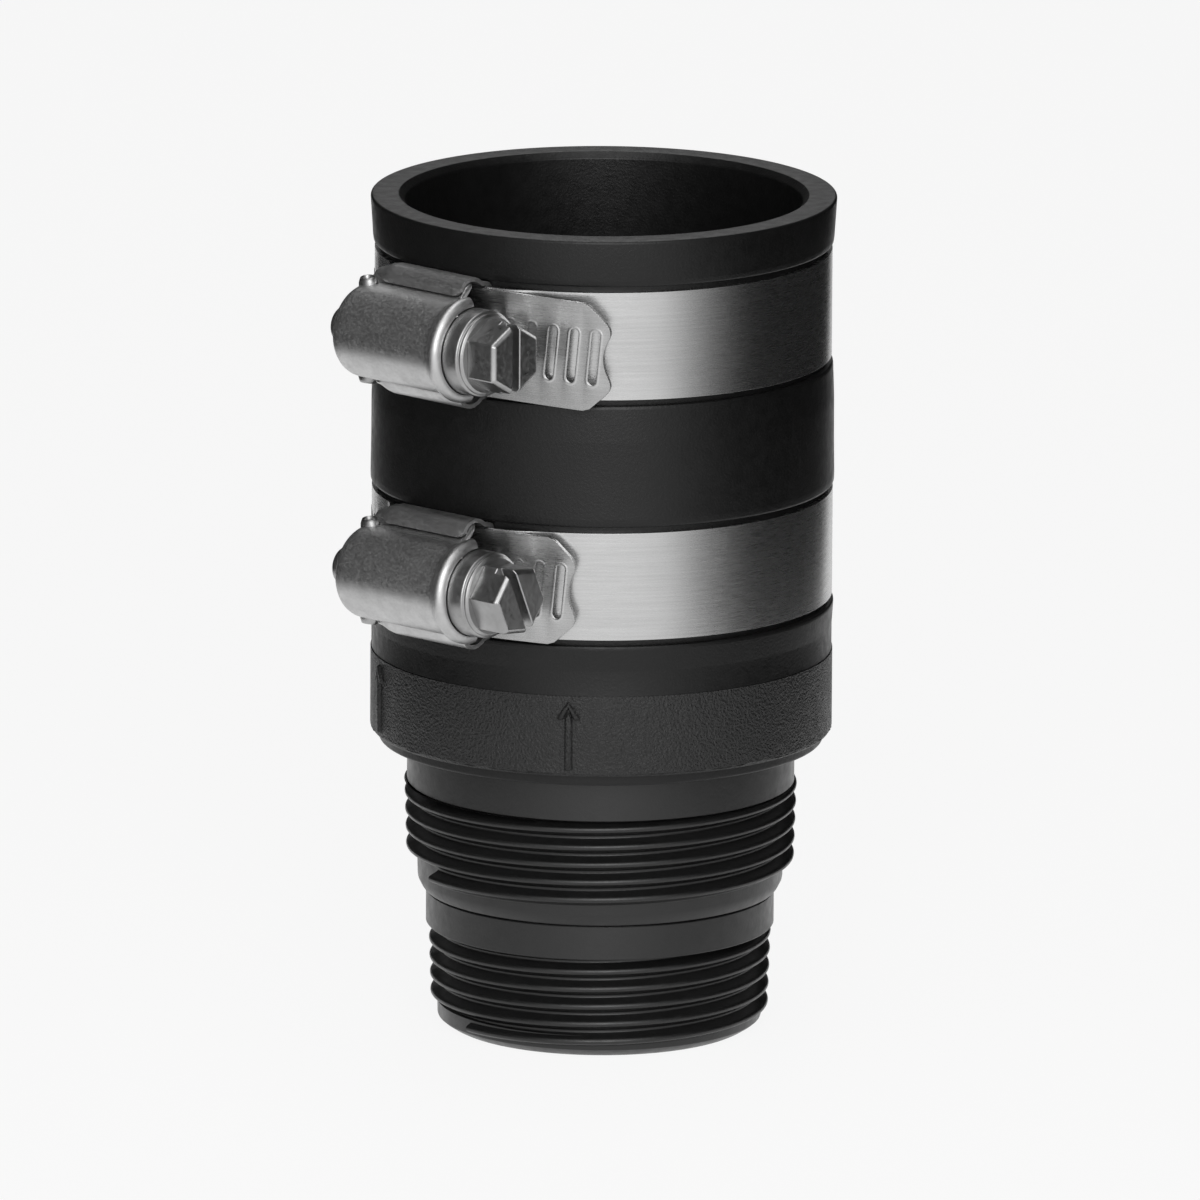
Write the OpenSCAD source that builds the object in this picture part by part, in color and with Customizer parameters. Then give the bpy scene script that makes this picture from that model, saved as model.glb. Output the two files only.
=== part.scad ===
// Threaded non-return valve for a sump pump discharge pipe.
// A moulded body with two male pipe threads stands inlet end down. A rubber sleeve grips its
// top with one worm drive clamp and takes the discharge pipe with another. A seat ring
// dropped into the body carries a swing flapper that only opens upwards.
// Everything is in millimetres, +Z is the way the water flows, and Z = 0 is the inlet face.

/* [Pipe threads] */
// Distance from one thread turn to the next
thread_pitch = 2.2087; // [2:0.01:2.4]
// Height of the thread from its root to its crest
thread_depth = 1.3; // [1.1:0.05:1.4]
// Width of the flat at the bottom of the thread
root_flat = 0.12; // [0.05:0.01:0.25]
// Radius that each thread loses per millimetre towards the inlet
thread_taper = 0.03125; // [0.02:0.005:0.04]
// Radius of the large thread at its top turn
large_thread_r = 24.13; // [23.9:0.01:24.4]
// Length of the large thread with its lead-in
large_thread_len = 13.4; // [11.5:0.1:15.5]
// Radius of the small thread at its top turn
small_thread_r = 21.08; // [20.7:0.01:21.4]
// Length of the small thread with its lead-in
small_thread_len = 12.7; // [11.5:0.1:15]
// Azimuth at which the large thread's ridge starts, from +X
large_start_az = 208; // [0:1:359]
// Azimuth at which the small thread's ridge starts, from +X
small_start_az = 218; // [0:1:359]
// Height of the start of the large thread's ridge above the thread's lower end
large_start_z = 2.1; // [1.6:0.05:2.4]
// Height of the start of the small thread's ridge above the inlet face
small_start_z = 0.8; // [0.4:0.05:1.6]
// Radius of the plain lead-in below the small thread
small_lead_r = 19.9; // [19.7:0.05:20]
// Length of the plain lead-in below the small thread
small_lead_len = 2.4; // [2:0.1:2.6]

/* [Body] */
// Length of the plain neck above the small thread
small_neck_len = 4.5; // [3:0.1:8]
// Radius of the plain neck above the small thread
small_neck_r = 21.4; // [21.2:0.05:22]
// Length of the plain neck that shows above the large thread
large_neck_len = 5.4; // [3:0.1:10]
// Radius of the plain neck above the large thread
large_neck_r = 23.8; // [23.6:0.05:24]
// Radius of the inlet bore
inlet_bore_r = 16.2; // [14:0.1:17]
// Radius of the chamber that the flapper swings in
chamber_r = 21.6; // [20.6:0.05:22.2]
// Wall of the spigot round that chamber
spigot_wall = 2.4; // [2.1:0.05:2.6]
// Width of the ledge under the seat, between the chamber and the passage below it
ledge_w = 3; // [2.6:0.1:3.6]
// Length of the spigot inside the sleeve
spigot_len = 31; // [26:0.5:34]
// Height of the seat ledge above the sleeve's lower end
ledge_rise = 2; // [1:0.1:4]
// Depth of the chamfer on the inlet end, across the axis
inlet_chamfer = 1.6; // [0.8:0.1:1.8]
// Height of the chamfer on the inlet end
inlet_chamfer_h = 1; // [0.6:0.1:1.4]
// Height of the chamfer under the large thread
large_chamfer = 1.2; // [0.6:0.1:1.5]

/* [Sleeve] */
// Length of the rubber sleeve
sleeve_len = 68; // [64:0.5:76]
// Radius of the socket that takes the discharge pipe
socket_r = 24.3; // [24.1:0.05:24.5]
// Height of the ring inside the sleeve that stops the pipe
stop_len = 3.6; // [2:0.1:6]
// Thickness of the sleeve's wall round the socket
sleeve_wall = 4.05; // [3.8:0.05:4.6]
// How far the mouth stands out beyond the rest of the sleeve
mouth_bulge = 0.2; // [0:0.05:0.4]
// Depth of the step between the grained band and the ring below it
ring_step = 1.05; // [0.5:0.05:1.5]
// Height of the ring at the sleeve's lower end
ring_h = 1.3; // [0.8:0.1:2.5]
// Height of the grained band above the ring
grain_h = 10.1; // [8:0.1:12]
// Depth of the step where the grained band ends
grain_step = 0.1; // [0.05:0.05:0.3]
// Radius of the rounded edges of the mouth
lip_round = 0.7; // [0.4:0.1:1.2]
// Radius of the flow arrows' strokes
arrow_stroke_r = 0.42; // [0.3:0.02:0.6]
// Height of a flow arrow
arrow_h = 8.4; // [6:0.1:9]
// Width of a flow arrow's head
arrow_w = 2.7; // [2:0.1:4]
// Angle between a flow arrow's shaft and each stroke of its head
arrow_head_angle = 38; // [30:1:55]
// Azimuth of the front flow arrow, from +X
front_arrow_az = 262; // [240:1:290]
// Azimuth of the side flow arrow, from +X
side_arrow_az = 197; // [170:1:220]

/* [Clamps] */
// Height of the lower clamp's middle above the sleeve's lower end
low_clamp_rise = 25.05; // [23.5:0.05:25.5]
// Distance of the upper clamp's middle below the sleeve's mouth
top_clamp_drop = 13.1; // [11.5:0.05:15]
// Depth of the groove that the lower clamp sits in
low_groove_depth = 0.75; // [0.65:0.05:1.2]
// Depth of the groove that the upper clamp sits in
top_groove_depth = 1; // [0.65:0.05:1.3]
// Width of the clamp band
band_w = 13.3; // [12.9:0.1:13.8]
// Thickness of the clamp band
band_t = 0.6; // [0.5:0.05:0.7]
// Room between the band's edge and the wall of its groove in the rubber
groove_room = 0.75; // [0.65:0.05:0.9]
// Angle from the middle of the lower housing to the end of the band's tail
low_tail_angle = 36.8; // [35:0.1:50]
// Angle from the middle of the upper housing to the end of the band's tail
top_tail_angle = 46; // [40:0.1:52]
// Azimuth of the middle of the lower housing, from +X
low_housing_az = 228; // [0:0.5:359]
// Azimuth of the middle of the upper housing, from +X
top_housing_az = 226.5; // [0:0.5:359]
// Radius of the bend of the free tail
tail_bend_r = 400; // [100:10:1000]
// Distance between the slots along the band, which is the worm's pitch too
slot_pitch = 2.8; // [2.4:0.05:3.2]
// Length of a slot across the band
slot_len = 7; // [6:0.1:8]
// Width of a slot
slot_w = 1.3; // [1.1:0.05:1.5]
// Lean of the slots
slot_lean = 5.5; // [3:0.5:8]
// Number of slots in each band
slot_count = 22; // [12:1:26]
// Distance from the end of the tail to the middle of the first slot
first_slot = 2.55; // [2.4:0.05:5]
// Length of the cropped corners of the tail
crop_len = 3.4; // [2:0.1:4.5]
// Width of the cropped corners of the tail
crop_w = 3.1; // [2:0.1:3.2]
// Half width of the hollow in the end of the tail
notch_half = 3.4; // [2:0.1:3.4]
// Depth of the hollow in the end of the tail
notch_depth = 1.15; // [0.5:0.05:1.2]

/* [Clamp housing and screw] */
// Outer radius of the housing's barrel
barrel_r = 5.8; // [5.5:0.1:6.2]
// Thickness of the housing's sheet
barrel_t = 0.85; // [0.6:0.05:1]
// Distance from the middle of the clamp to the closed end of the housing
housing_back = 8.9; // [8:0.1:10]
// Distance from the middle of the clamp to the open mouth of the housing
housing_front = 9.7; // [9:0.1:12]
// Radius of the housing's flared mouth
mouth_r = 6.5; // [6.2:0.1:6.9]
// Length of the flare at the mouth
flare_len = 1.8; // [1:0.1:3]
// Thickness of the flanges
flange_t = 0.7; // [0.5:0.05:0.75]
// Thickness of the saddle's sheet
saddle_t = 0.5; // [0.4:0.05:0.55]
// Radius of the screw's worm
worm_r = 3.9; // [3.7:0.05:4.2]
// Radius at the bottom of the worm's groove
worm_root_r = 3.15; // [3.15:0.05:3.3]
// Radius of the screw's tip where it turns in the housing
tip_r = 3.0; // [2.5:0.05:3.0]
// Length of the tip that stands out of the housing
tip_out = 3.3; // [1:0.1:4]
// Radius of the collar under the screw's head
collar_r = 5.3; // [5:0.05:5.5]
// Thickness of the collar
collar_t = 2.95; // [2.5:0.05:4.2]
// Width across the flats of the screw's head
hex_flats = 7.94; // [7:0.01:8.2]
// Height of the screw's head above the collar
hex_h = 4.4; // [4:0.1:6]
// Width of the screwdriver slot
driver_slot_w = 1.3; // [1:0.1:1.6]
// Depth of the screwdriver slot
driver_slot_depth = 2.2; // [1.5:0.1:3]
// Turn of the upper screw's slot about its axis
top_screw_turn = 0; // [0:1:179]
// Turn of the lower screw's slot about its axis
low_screw_turn = 24; // [0:1:179]

/* [Seat and flapper] */
// Height of the seat ring's flange
seat_h = 4; // [3.6:0.1:5]
// How far the flapper disc laps over the seat ring
seat_lap = 1.9; // [1.6:0.1:3]
// Wall of the raised lip that the flapper closes on
seat_lip_w = 1.2; // [0.8:0.1:1.6]
// Height of the raised lip
seat_lip_h = 0.8; // [0.5:0.1:1.2]
// Thickness of the seat ring's sealing cord
o_ring_d = 1.8; // [1.5:0.1:2]
// Thickness of the snap ring above the seat ring
snap_t = 1; // [0.8:0.05:1.2]
// Width of the snap ring's wire section
snap_w = 2.1; // [1.8:0.1:2.4]
// Depth of the snap ring's groove in the body
snap_groove = 0.8; // [0.5:0.05:0.9]
// Half angle of the gap between the snap ring's ends
snap_gap = 28; // [25:1:40]
// Thickness of the rubber flapper disc
disc_t = 2.5; // [2:0.1:3]
// How far the flapper's backing plate stays inside the disc's edge
plate_inset = 3; // [2:0.1:4.5]
// Thickness of the flapper's backing plate
plate_t = 0.8; // [0.6:0.05:1]
// Room between the weight under the flapper and the seat ring's opening
weight_room = 2.1; // [1.6:0.1:3.5]
// Thickness of the weight under the flapper
weight_t = 2; // [1.5:0.1:2.4]
// Distance of the hinge pin's middle from the chamber's wall
hinge_inset = 3; // [2.8:0.05:3.1]
// Radius of the hinge pin
pin_r = 1.25; // [1:0.05:1.4]
// Wall of the flapper's hinge knuckles
knuckle_wall = 0.6; // [0.5:0.05:0.7]
// Half width of the flapper's hinge tongue
tongue_half = 4.9; // [4.5:0.05:5]
// Half width of the gap between the two hinge knuckles
knuckle_gap_half = 1.9; // [1.5:0.1:2.4]
// Wall of the hinge ears around the pin
ear_wall = 0.75; // [0.6:0.05:0.9]
// Radius of the flapper screw
bolt_r = 1.5; // [1.25:0.05:2]
// Width across the flats of the flapper nut
nut_flats = 5.5; // [5:0.1:7]
// Height of the flapper nut
nut_h = 2.4; // [2:0.1:3.2]
// Length of the flapper screw that stands out of its nut
bolt_end = 0.8; // [0.4:0.1:1.2]
// Radius of the flapper screw's head
head_r = 3; // [2.8:0.1:3.8]
// Height of the flapper screw's head
head_h = 1.6; // [1.2:0.1:2]
// Thickness of the spring washer under the nut
washer_t = 0.7; // [0.5:0.05:1]

/* [Clearances] */
// Radial room between parts that are pushed together by hand
slip = 0.05; // [0.03:0.01:0.1]
// Radial room round what turns
running = 0.05; // [0.03:0.01:0.08]
// Room between stacked faces that only rest on each other
rest_gap = 0.05; // [0.02:0.01:0.1]
// Room at each side between the flapper's hinge tongue and the ears
ear_room = 0.3; // [0.2:0.05:0.3]
// Room between the corners of the hinge pin and the chamber's wall
pin_room = 0.27; // [0.2:0.01:0.35]
// Room between the flapper disc and the hinge knuckles
disc_room = 0.2; // [0.15:0.05:0.4]
// Room between the band's tail and the housing's flanges
flange_room = 0.35; // [0.25:0.05:0.45]
// Room between the worm and the band
worm_gap = 0.15; // [0.1:0.01:0.3]

/* [Hidden] */
$fn = 96;

plastic_col = [0.13, 0.13, 0.13];
rubber_col = [0.09, 0.09, 0.09];
steel_col = [0.72, 0.72, 0.71];
zinc_col = [0.55, 0.55, 0.54];

// How far a cutting shape reaches past the face that it cuts
past = 1;
// Steps of one turn of a modelled thread
thread_steps = 30;
// Half of a 60 degree thread angle
flank = 30;
// How deep a thread's ridge is rooted in the core that carries it, and where its sides go plumb
ridge_bury = 0.4;
ridge_kink = 0.02;
// Half width of a ridge's blunt outer edge, which the lands crop away
ridge_tip_half = 0.144;
// How far the chamfer under the large thread stays outside the core
chamfer_skin = 0.1;
// Part of a round corner's radius that its middle lies inside the square corner
corner_mid = 1 - cos(45);
// Bevel along the lower edge of the grained band: depth and height
low_bevel_r = 0.3;
low_bevel_h = 0.6;
// Necking of the rubber under the upper clamp: depth and height
groove_fade_r = 0.15;
groove_fade_h = 3;
// How much narrower the mouth's lip is at the upper clamp than at its top
mouth_draft = 0.4;
// How deep the flow arrows' strokes sit in the rubber
arrow_sink = 0.12;
// Straight pieces that the band's bend is drawn with
band_steps = 116;
// Angle in which the band eases up onto the saddle or onto its own other end
band_ramp = 8;
// Distance past the saddle at which that easing starts: behind the housing and at its mouth
back_ramp = 0.6;
front_ramp = 2.75;
// How far the band's fixed end stops short of the housing's end
band_end_inset = 0.4;
// How far a slot's cutter stands out of the band on each side
slot_skin = 0.04;
// How far the saddle stops short of the housing at its back and at its mouth
saddle_back_inset = 0.9;
saddle_front_inset = 3.15;
// Room between a flange's side and the inside of the saddle's curl
roll_room = 0.25;
// How far the saddle's curl hooks down past its middle
roll_hook = 0.35;
// How far the flanges stop short of the housing's mouth
flange_short = 1;
// How much thinner the flared mouth is than the barrel
mouth_thin = 0.3;
// Room between the worm and the housing's closed end, and from the worm's top to the mouth
worm_end_room = 0.4;
worm_mouth_room = 0.6;
// Distance from each end of the worm to the middle of its groove
worm_plain = 0.9;
// Half width of the worm's groove at its root, and how it widens
worm_root_half = 0.35;
worm_flank = 0.35;
worm_steps = 18;
// Bevels of the clamp screw: tip, collar and hexagon
tip_bevel = 0.6;
collar_bevel = 0.8;
collar_room = 0.1;
hex_inset = 0.1;
hex_slope = 1.2;
// How far the hinge pin stands out of the ears
pin_proud = 0.3;
// Flapper screw: width of its slot and how much its head tapers
flapper_slot_w = 0.8;
head_taper = 0.7;
// Width of the split in the spring washer
washer_split = 0.6;

// Heights of the body's sections
z_small_top = small_thread_len;
z_large_low = z_small_top + small_neck_len;
z_large_top = z_large_low + large_thread_len;
z_sleeve = z_large_top + large_neck_len;
z_spigot_top = z_sleeve + spigot_len;
z_ledge = z_sleeve + ledge_rise;
z_sleeve_top = z_sleeve + sleeve_len;

// The sleeve's outside radii, all set from the socket that takes the pipe
sleeve_r = socket_r + sleeve_wall;
sleeve_top_r = sleeve_r + mouth_bulge;
ring_r = sleeve_r - ring_step;
low_seat_r = sleeve_r - low_groove_depth;
top_seat_r = sleeve_r - top_groove_depth;

// The sleeve's inside and its bands, from the bottom up
z_stop_low = z_spigot_top + rest_gap;
z_stop_top = z_stop_low + stop_len;
z_ring_top = z_sleeve + ring_h;
z_grain_top = z_ring_top + grain_h;
groove_half = band_w / 2 + groove_room;
z_low_clamp = z_sleeve + low_clamp_rise;
z_top_clamp = z_sleeve_top - top_clamp_drop;

// The body's inside and the hinge, all set from the chamber
spigot_r = chamber_r + spigot_wall;
passage_r = chamber_r - ledge_w;
seat_ring_r = chamber_r - 2 * slip;
o_ring_mid_r = seat_ring_r - o_ring_d / 2;
hinge_x = chamber_r - hinge_inset;
pin_half = sqrt(pow(chamber_r - pin_room, 2) - pow(hinge_x + pin_r, 2));
ear_inner = tongue_half + ear_room;
ear_t = pin_half - pin_proud - ear_inner;
knuckle_r = pin_r + running + knuckle_wall;
ear_r = pin_r + slip + ear_wall;
disc_r = hinge_x - knuckle_r - disc_room;
plate_r = disc_r - plate_inset;
seat_bore_r = disc_r - seat_lap;
weight_r = seat_bore_r - weight_room;
bolt_hole_r = bolt_r + slip;

// Heights of the seat and the flapper
z_seat_top = z_ledge + seat_h;
z_lip_top = z_seat_top + seat_lip_h;
z_disc_low = z_lip_top + rest_gap;
z_plate_low = z_disc_low + disc_t;
z_plate_top = z_plate_low + plate_t;
z_hinge = z_plate_low + plate_t / 2;
z_weight_low = z_disc_low - weight_t;
z_snap_low = z_seat_top + rest_gap;

// The housing's foot stands on the band's outer layer
function layer_lift() = saddle_t + 2 * rest_gap;
function base_mid_r(seat_r) = seat_r + rest_gap + band_t / 2;
function tail_lift() = layer_lift() + band_t + rest_gap;
function tail_outer_r(seat_r) = base_mid_r(seat_r) + tail_lift() + band_t / 2;
function screw_axis_r(seat_r) = tail_outer_r(seat_r) + worm_gap + worm_r;
function flange_low(seat_r) = tail_outer_r(seat_r) + flange_room;
saddle_back = housing_back - saddle_back_inset;
saddle_front = housing_front - saddle_front_inset;
// The saddle's side walls stand in the rubber's groove, and its curls close over the flanges
saddle_wall_in = groove_half - rest_gap - saddle_t;
roll_inner = flange_t / 2 + roll_room;
roll_outer = roll_inner + saddle_t;
roll_z = saddle_wall_in - roll_inner;
flange_half_w = roll_z + sqrt(pow(roll_inner - rest_gap, 2) - pow(flange_t / 2, 2));

// A section swept along a right-handed helix. The section is a list of corners [radius, height],
// from its upper inner corner outwards and round to its lower inner corner.
module helix_sweep(section, z0, pitch, from_deg, turn_deg, taper = 0, steps = thread_steps) {
    count = ceil(turn_deg / 360 * steps);
    n = len(section);
    corners = [for (i = [0 : count])
        let (a = from_deg + turn_deg * i / count, rise = pitch * turn_deg * i / count / 360)
        for (p = section)
            let (r = p[0] + taper * rise) [r * cos(a), r * sin(a), z0 + rise + p[1]]];
    sides = [for (i = [0 : count - 1], k = [0 : n - 1])
        [n * i + k, n * i + (k + 1) % n, n * (i + 1) + (k + 1) % n, n * (i + 1) + k]];
    triangles = [for (q = sides) each [[q[0], q[2], q[1]], [q[0], q[3], q[2]]]];
    first_cap = [for (k = [1 : n - 2]) [0, k, k + 1]];
    last_cap = [for (k = [1 : n - 2]) [n * count, n * count + k + 1, n * count + k]];
    polyhedron(corners, concat(first_cap, triangles, last_cap), convexity = 8);
}

// Lands of a tapered thread: one true cylinder for each turn, so that a gauge can sit on them
module thread_lands(top_r, z_low, z_top) {
    turns = ceil((z_top - z_low) / thread_pitch);
    for (i = [0 : turns - 1]) {
        z1 = z_top - i * thread_pitch;
        z0 = max(z_low, z1 - thread_pitch);
        translate([0, 0, z0])
            cylinder(r = top_r - thread_taper * i * thread_pitch, h = z1 - z0);
    }
}

// Radius at a thread's root, at a height below its top turn
function core_r(top_r, below) = top_r - thread_depth - thread_taper * below;

// One male thread: a tapered core and one helical ridge, which starts bluntly above a plain
// lead-in and whose crest is turned down to the lands
module male_thread(top_r, z_low, len, start_z, start_az) {
    z_top = z_low + len;
    ridge_z = z_low + start_z + thread_pitch / 2;
    root_r = core_r(top_r, z_top - ridge_z);
    half_root = (thread_pitch - root_flat) / 2;
    edge_r = root_r + (half_root - ridge_tip_half) / tan(flank);
    half_base = half_root + ridge_kink * tan(flank);
    section = [[root_r - ridge_bury, half_base], [root_r - ridge_kink, half_base],
        [edge_r, ridge_tip_half], [edge_r, -ridge_tip_half],
        [root_r - ridge_kink, -half_base], [root_r - ridge_bury, -half_base]];
    translate([0, 0, z_low]) cylinder(r1 = core_r(top_r, len), r2 = core_r(top_r, 0), h = len);
    intersection() {
        thread_lands(top_r, z_low, z_top);
        helix_sweep(section, ridge_z, thread_pitch, start_az,
            (z_top - z_low - start_z) / thread_pitch * 360, taper = thread_taper);
    }
}

module threaded_body() {
    large_core_r = core_r(large_thread_r, large_thread_len);
    color(plastic_col) difference() {
        union() {
            male_thread(small_thread_r, 0, small_thread_len, small_start_z, small_start_az);
            cylinder(r = small_lead_r, h = small_lead_len);
            translate([0, 0, z_small_top]) cylinder(r = small_neck_r, h = small_neck_len);
            male_thread(large_thread_r, z_large_low, large_thread_len, large_start_z,
                large_start_az);
            translate([0, 0, z_large_top])
                cylinder(r = large_neck_r, h = large_neck_len);
            translate([0, 0, z_sleeve]) cylinder(r = spigot_r, h = spigot_len);
        }
        // Chamfers outside, on the inlet end and under the large thread
        difference() {
            translate([0, 0, -past])
                cylinder(r = small_thread_r + past, h = past + inlet_chamfer_h);
            translate([0, 0, -past])
                cylinder(r1 = small_lead_r - inlet_chamfer * (1 + past / inlet_chamfer_h),
                    r2 = small_lead_r, h = past + inlet_chamfer_h);
        }
        difference() {
            translate([0, 0, z_large_low]) cylinder(r = large_thread_r + past, h = large_chamfer);
            translate([0, 0, z_large_low])
                cylinder(r1 = small_neck_r, r2 = large_core_r + chamfer_skin, h = large_chamfer);
        }
        // Water way: inlet bore, flare, passage, seat ledge and flapper chamber
        translate([0, 0, -past]) cylinder(r = inlet_bore_r, h = past + z_small_top);
        translate([0, 0, z_small_top])
            cylinder(r1 = inlet_bore_r, r2 = passage_r, h = small_neck_len);
        translate([0, 0, z_large_low]) cylinder(r = passage_r, h = z_ledge - z_large_low + past);
        translate([0, 0, z_ledge]) cylinder(r = chamber_r, h = z_spigot_top - z_ledge + past);
        translate([0, 0, z_snap_low])
            cylinder(r = chamber_r + snap_groove, h = snap_t + 2 * rest_gap);
    }
}

// One raised flow arrow, standing on the sleeve's grained band at azimuth az
module flow_arrow(az) {
    base = z_ring_top + (grain_h - arrow_h) / 2;
    tip = base + arrow_h;
    leg = arrow_w / 2 / sin(arrow_head_angle);
    rotate([0, 0, az]) translate([sleeve_r - arrow_sink, 0, 0]) {
        translate([0, 0, base]) cylinder(r = arrow_stroke_r, h = arrow_h, $fn = 16);
        for (side = [-1, 1]) translate([0, 0, tip]) rotate([side * (180 - arrow_head_angle), 0, 0])
            cylinder(r = arrow_stroke_r, h = leg, $fn = 16);
    }
}

module rubber_sleeve() {
    low_groove = z_low_clamp - groove_half;
    low_groove_top = z_low_clamp + groove_half;
    top_groove = z_top_clamp - groove_half;
    top_groove_top = z_top_clamp + groove_half;
    smooth_r = sleeve_r - grain_step;
    spigot_bore_r = spigot_r + slip;
    lip_mid = lip_round * corner_mid;
    color(rubber_col) union() {
        rotate_extrude() polygon([
            [spigot_bore_r, z_sleeve], [ring_r, z_sleeve], [ring_r, z_ring_top],
            [sleeve_r - low_bevel_r, z_ring_top], [sleeve_r, z_ring_top + low_bevel_h],
            [sleeve_r, z_grain_top], [smooth_r, z_grain_top],
            [smooth_r, low_groove], [low_seat_r, low_groove],
            [low_seat_r, low_groove_top], [sleeve_r, low_groove_top],
            [sleeve_r, top_groove - groove_fade_h],
            [sleeve_r - groove_fade_r, top_groove], [top_seat_r, top_groove],
            [top_seat_r, top_groove_top], [sleeve_top_r - mouth_draft, top_groove_top],
            [sleeve_top_r, z_sleeve_top - lip_round],
            [sleeve_top_r - lip_mid, z_sleeve_top - lip_mid],
            [sleeve_top_r - lip_round, z_sleeve_top],
            [socket_r + lip_round, z_sleeve_top],
            [socket_r, z_sleeve_top - lip_round],
            [socket_r, z_stop_top], [chamber_r, z_stop_top], [chamber_r, z_stop_low],
            [spigot_bore_r, z_stop_low]]);
        for (az = [side_arrow_az, front_arrow_az]) flow_arrow(az);
    }
}

module seat_ring() {
    ear_mid = ear_inner + ear_t / 2;
    color(plastic_col) difference() {
        union() {
            translate([0, 0, z_ledge + rest_gap])
                cylinder(r = seat_ring_r, h = seat_h - rest_gap);
            translate([0, 0, z_seat_top])
                cylinder(r = seat_bore_r + seat_lip_w, h = seat_lip_h);
            intersection() {
                for (side = [-1, 1]) translate([-hinge_x, side * ear_mid, 0]) {
                    translate([0, ear_t / 2, z_hinge]) rotate([90, 0, 0])
                        cylinder(r = ear_r, h = ear_t);
                    translate([-ear_r, -ear_t / 2, z_seat_top - past])
                        cube([2 * ear_r, ear_t, z_hinge - z_seat_top + past]);
                }
                cylinder(r = seat_ring_r, h = z_hinge + 2 * ear_r);
            }
        }
        translate([0, 0, z_ledge - past]) cylinder(r = seat_bore_r, h = z_lip_top + 2 * past - z_ledge);
        translate([-hinge_x, pin_half + past, z_hinge]) rotate([90, 0, 0])
            cylinder(r = pin_r + slip, h = 2 * (pin_half + past));
        // Groove for the sealing cord
        translate([0, 0, z_ledge + seat_h / 2 - o_ring_d / 2 - slip]) difference() {
            cylinder(r = seat_ring_r + past, h = o_ring_d + 2 * slip);
            translate([0, 0, -past])
                cylinder(r = seat_ring_r - o_ring_d - slip, h = o_ring_d + 2 * past + 2 * slip);
        }
    }
}

module seat_o_ring() {
    color(rubber_col) translate([0, 0, z_ledge + seat_h / 2]) rotate_extrude()
        translate([o_ring_mid_r, 0]) circle(r = o_ring_d / 2, $fn = 24);
}

// Open snap ring with its gap round the hinge ears
module snap_ring() {
    outer = chamber_r + snap_groove - slip;
    color(steel_col) translate([0, 0, z_snap_low]) rotate([0, 0, 180 + snap_gap])
        rotate_extrude(angle = 360 - 2 * snap_gap)
            translate([outer - snap_w, 0]) square([snap_w, snap_t]);
}

module hinge_pin() {
    color(steel_col) translate([-hinge_x, pin_half, z_hinge]) rotate([90, 0, 0])
        cylinder(r = pin_r, h = 2 * pin_half, $fn = 48);
}

module flapper_disc() {
    color(rubber_col) translate([0, 0, z_disc_low]) difference() {
        cylinder(r = disc_r, h = disc_t);
        translate([0, 0, -past]) cylinder(r = bolt_hole_r, h = disc_t + 2 * past);
    }
}

module flapper_plate() {
    color(steel_col) difference() {
        union() {
            translate([0, 0, z_plate_low]) cylinder(r = plate_r, h = plate_t);
            translate([-hinge_x, -tongue_half, z_plate_low])
                cube([hinge_x, 2 * tongue_half, plate_t]);
            translate([-hinge_x, tongue_half, z_hinge]) rotate([90, 0, 0])
                cylinder(r = knuckle_r, h = 2 * tongue_half);
        }
        translate([0, 0, z_plate_low - past]) cylinder(r = bolt_hole_r, h = plate_t + 2 * past);
        translate([-hinge_x, tongue_half + past, z_hinge]) rotate([90, 0, 0])
            cylinder(r = pin_r + running, h = 2 * (tongue_half + past), $fn = 48);
        translate([-hinge_x - knuckle_r - past, -knuckle_gap_half, z_hinge - knuckle_r - past])
            cube([2 * knuckle_r + past, 2 * knuckle_gap_half, 2 * (knuckle_r + past)]);
    }
}

module flapper_weight() {
    color(zinc_col) translate([0, 0, z_weight_low]) difference() {
        cylinder(r = weight_r, h = weight_t);
        translate([0, 0, -past]) cylinder(r = bolt_hole_r, h = weight_t + 2 * past);
    }
}

module flapper_screw() {
    shank_len = z_plate_top + washer_t + nut_h + bolt_end - z_weight_low;
    color(steel_col) difference() {
        union() {
            translate([0, 0, z_weight_low - head_h])
                cylinder(r1 = head_r * head_taper, r2 = head_r, h = head_h);
            translate([0, 0, z_weight_low]) cylinder(r = bolt_r, h = shank_len);
        }
        translate([-head_r - past, -flapper_slot_w / 2, z_weight_low - head_h - past])
            cube([2 * (head_r + past), flapper_slot_w, head_h / 2 + past]);
    }
}

module flapper_washer() {
    color(steel_col) translate([0, 0, z_plate_top]) difference() {
        cylinder(r = head_r, h = washer_t);
        translate([0, 0, -past]) cylinder(r = bolt_hole_r, h = washer_t + 2 * past);
        translate([0, -washer_split / 2, -past])
            cube([head_r + past, washer_split, washer_t + 2 * past]);
    }
}

module flapper_nut() {
    color(steel_col) translate([0, 0, z_plate_top + washer_t]) difference() {
        cylinder(r = nut_flats / 2 / cos(30), h = nut_h, $fn = 6);
        translate([0, 0, -past]) cylinder(r = bolt_hole_r, h = nut_h + 2 * past);
    }
}

// Radius of the band's middle line. Angle 0 is the fixed end under the housing, 360 is where
// the band passes through the housing again, and past that runs the free tail.
function ease(t) = t <= 0 ? 0 : t >= 1 ? 1 : t * t * (3 - 2 * t);
function band_mid(a, seat_r) =
    let (base = base_mid_r(seat_r),
        step_in = asin((saddle_front + front_ramp) / base),
        step_out = asin((saddle_back + back_ramp) / base),
        b = a - 360,
        run = base * max(0, b - step_in) * PI / 180)
    a < 180 ? base + layer_lift() * (1 - ease((a - step_in) / band_ramp))
        : base + tail_lift() * ease((b + step_out + band_ramp) / band_ramp)
            + run * run / 2 * (1 / base - 1 / tail_bend_r);

// Lean of the band against a circle round the valve's axis
function band_lean(a, seat_r) = atan((band_mid(a + 0.5, seat_r) - band_mid(a - 0.5, seat_r))
    / (band_mid(a, seat_r) * PI / 180));

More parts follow.
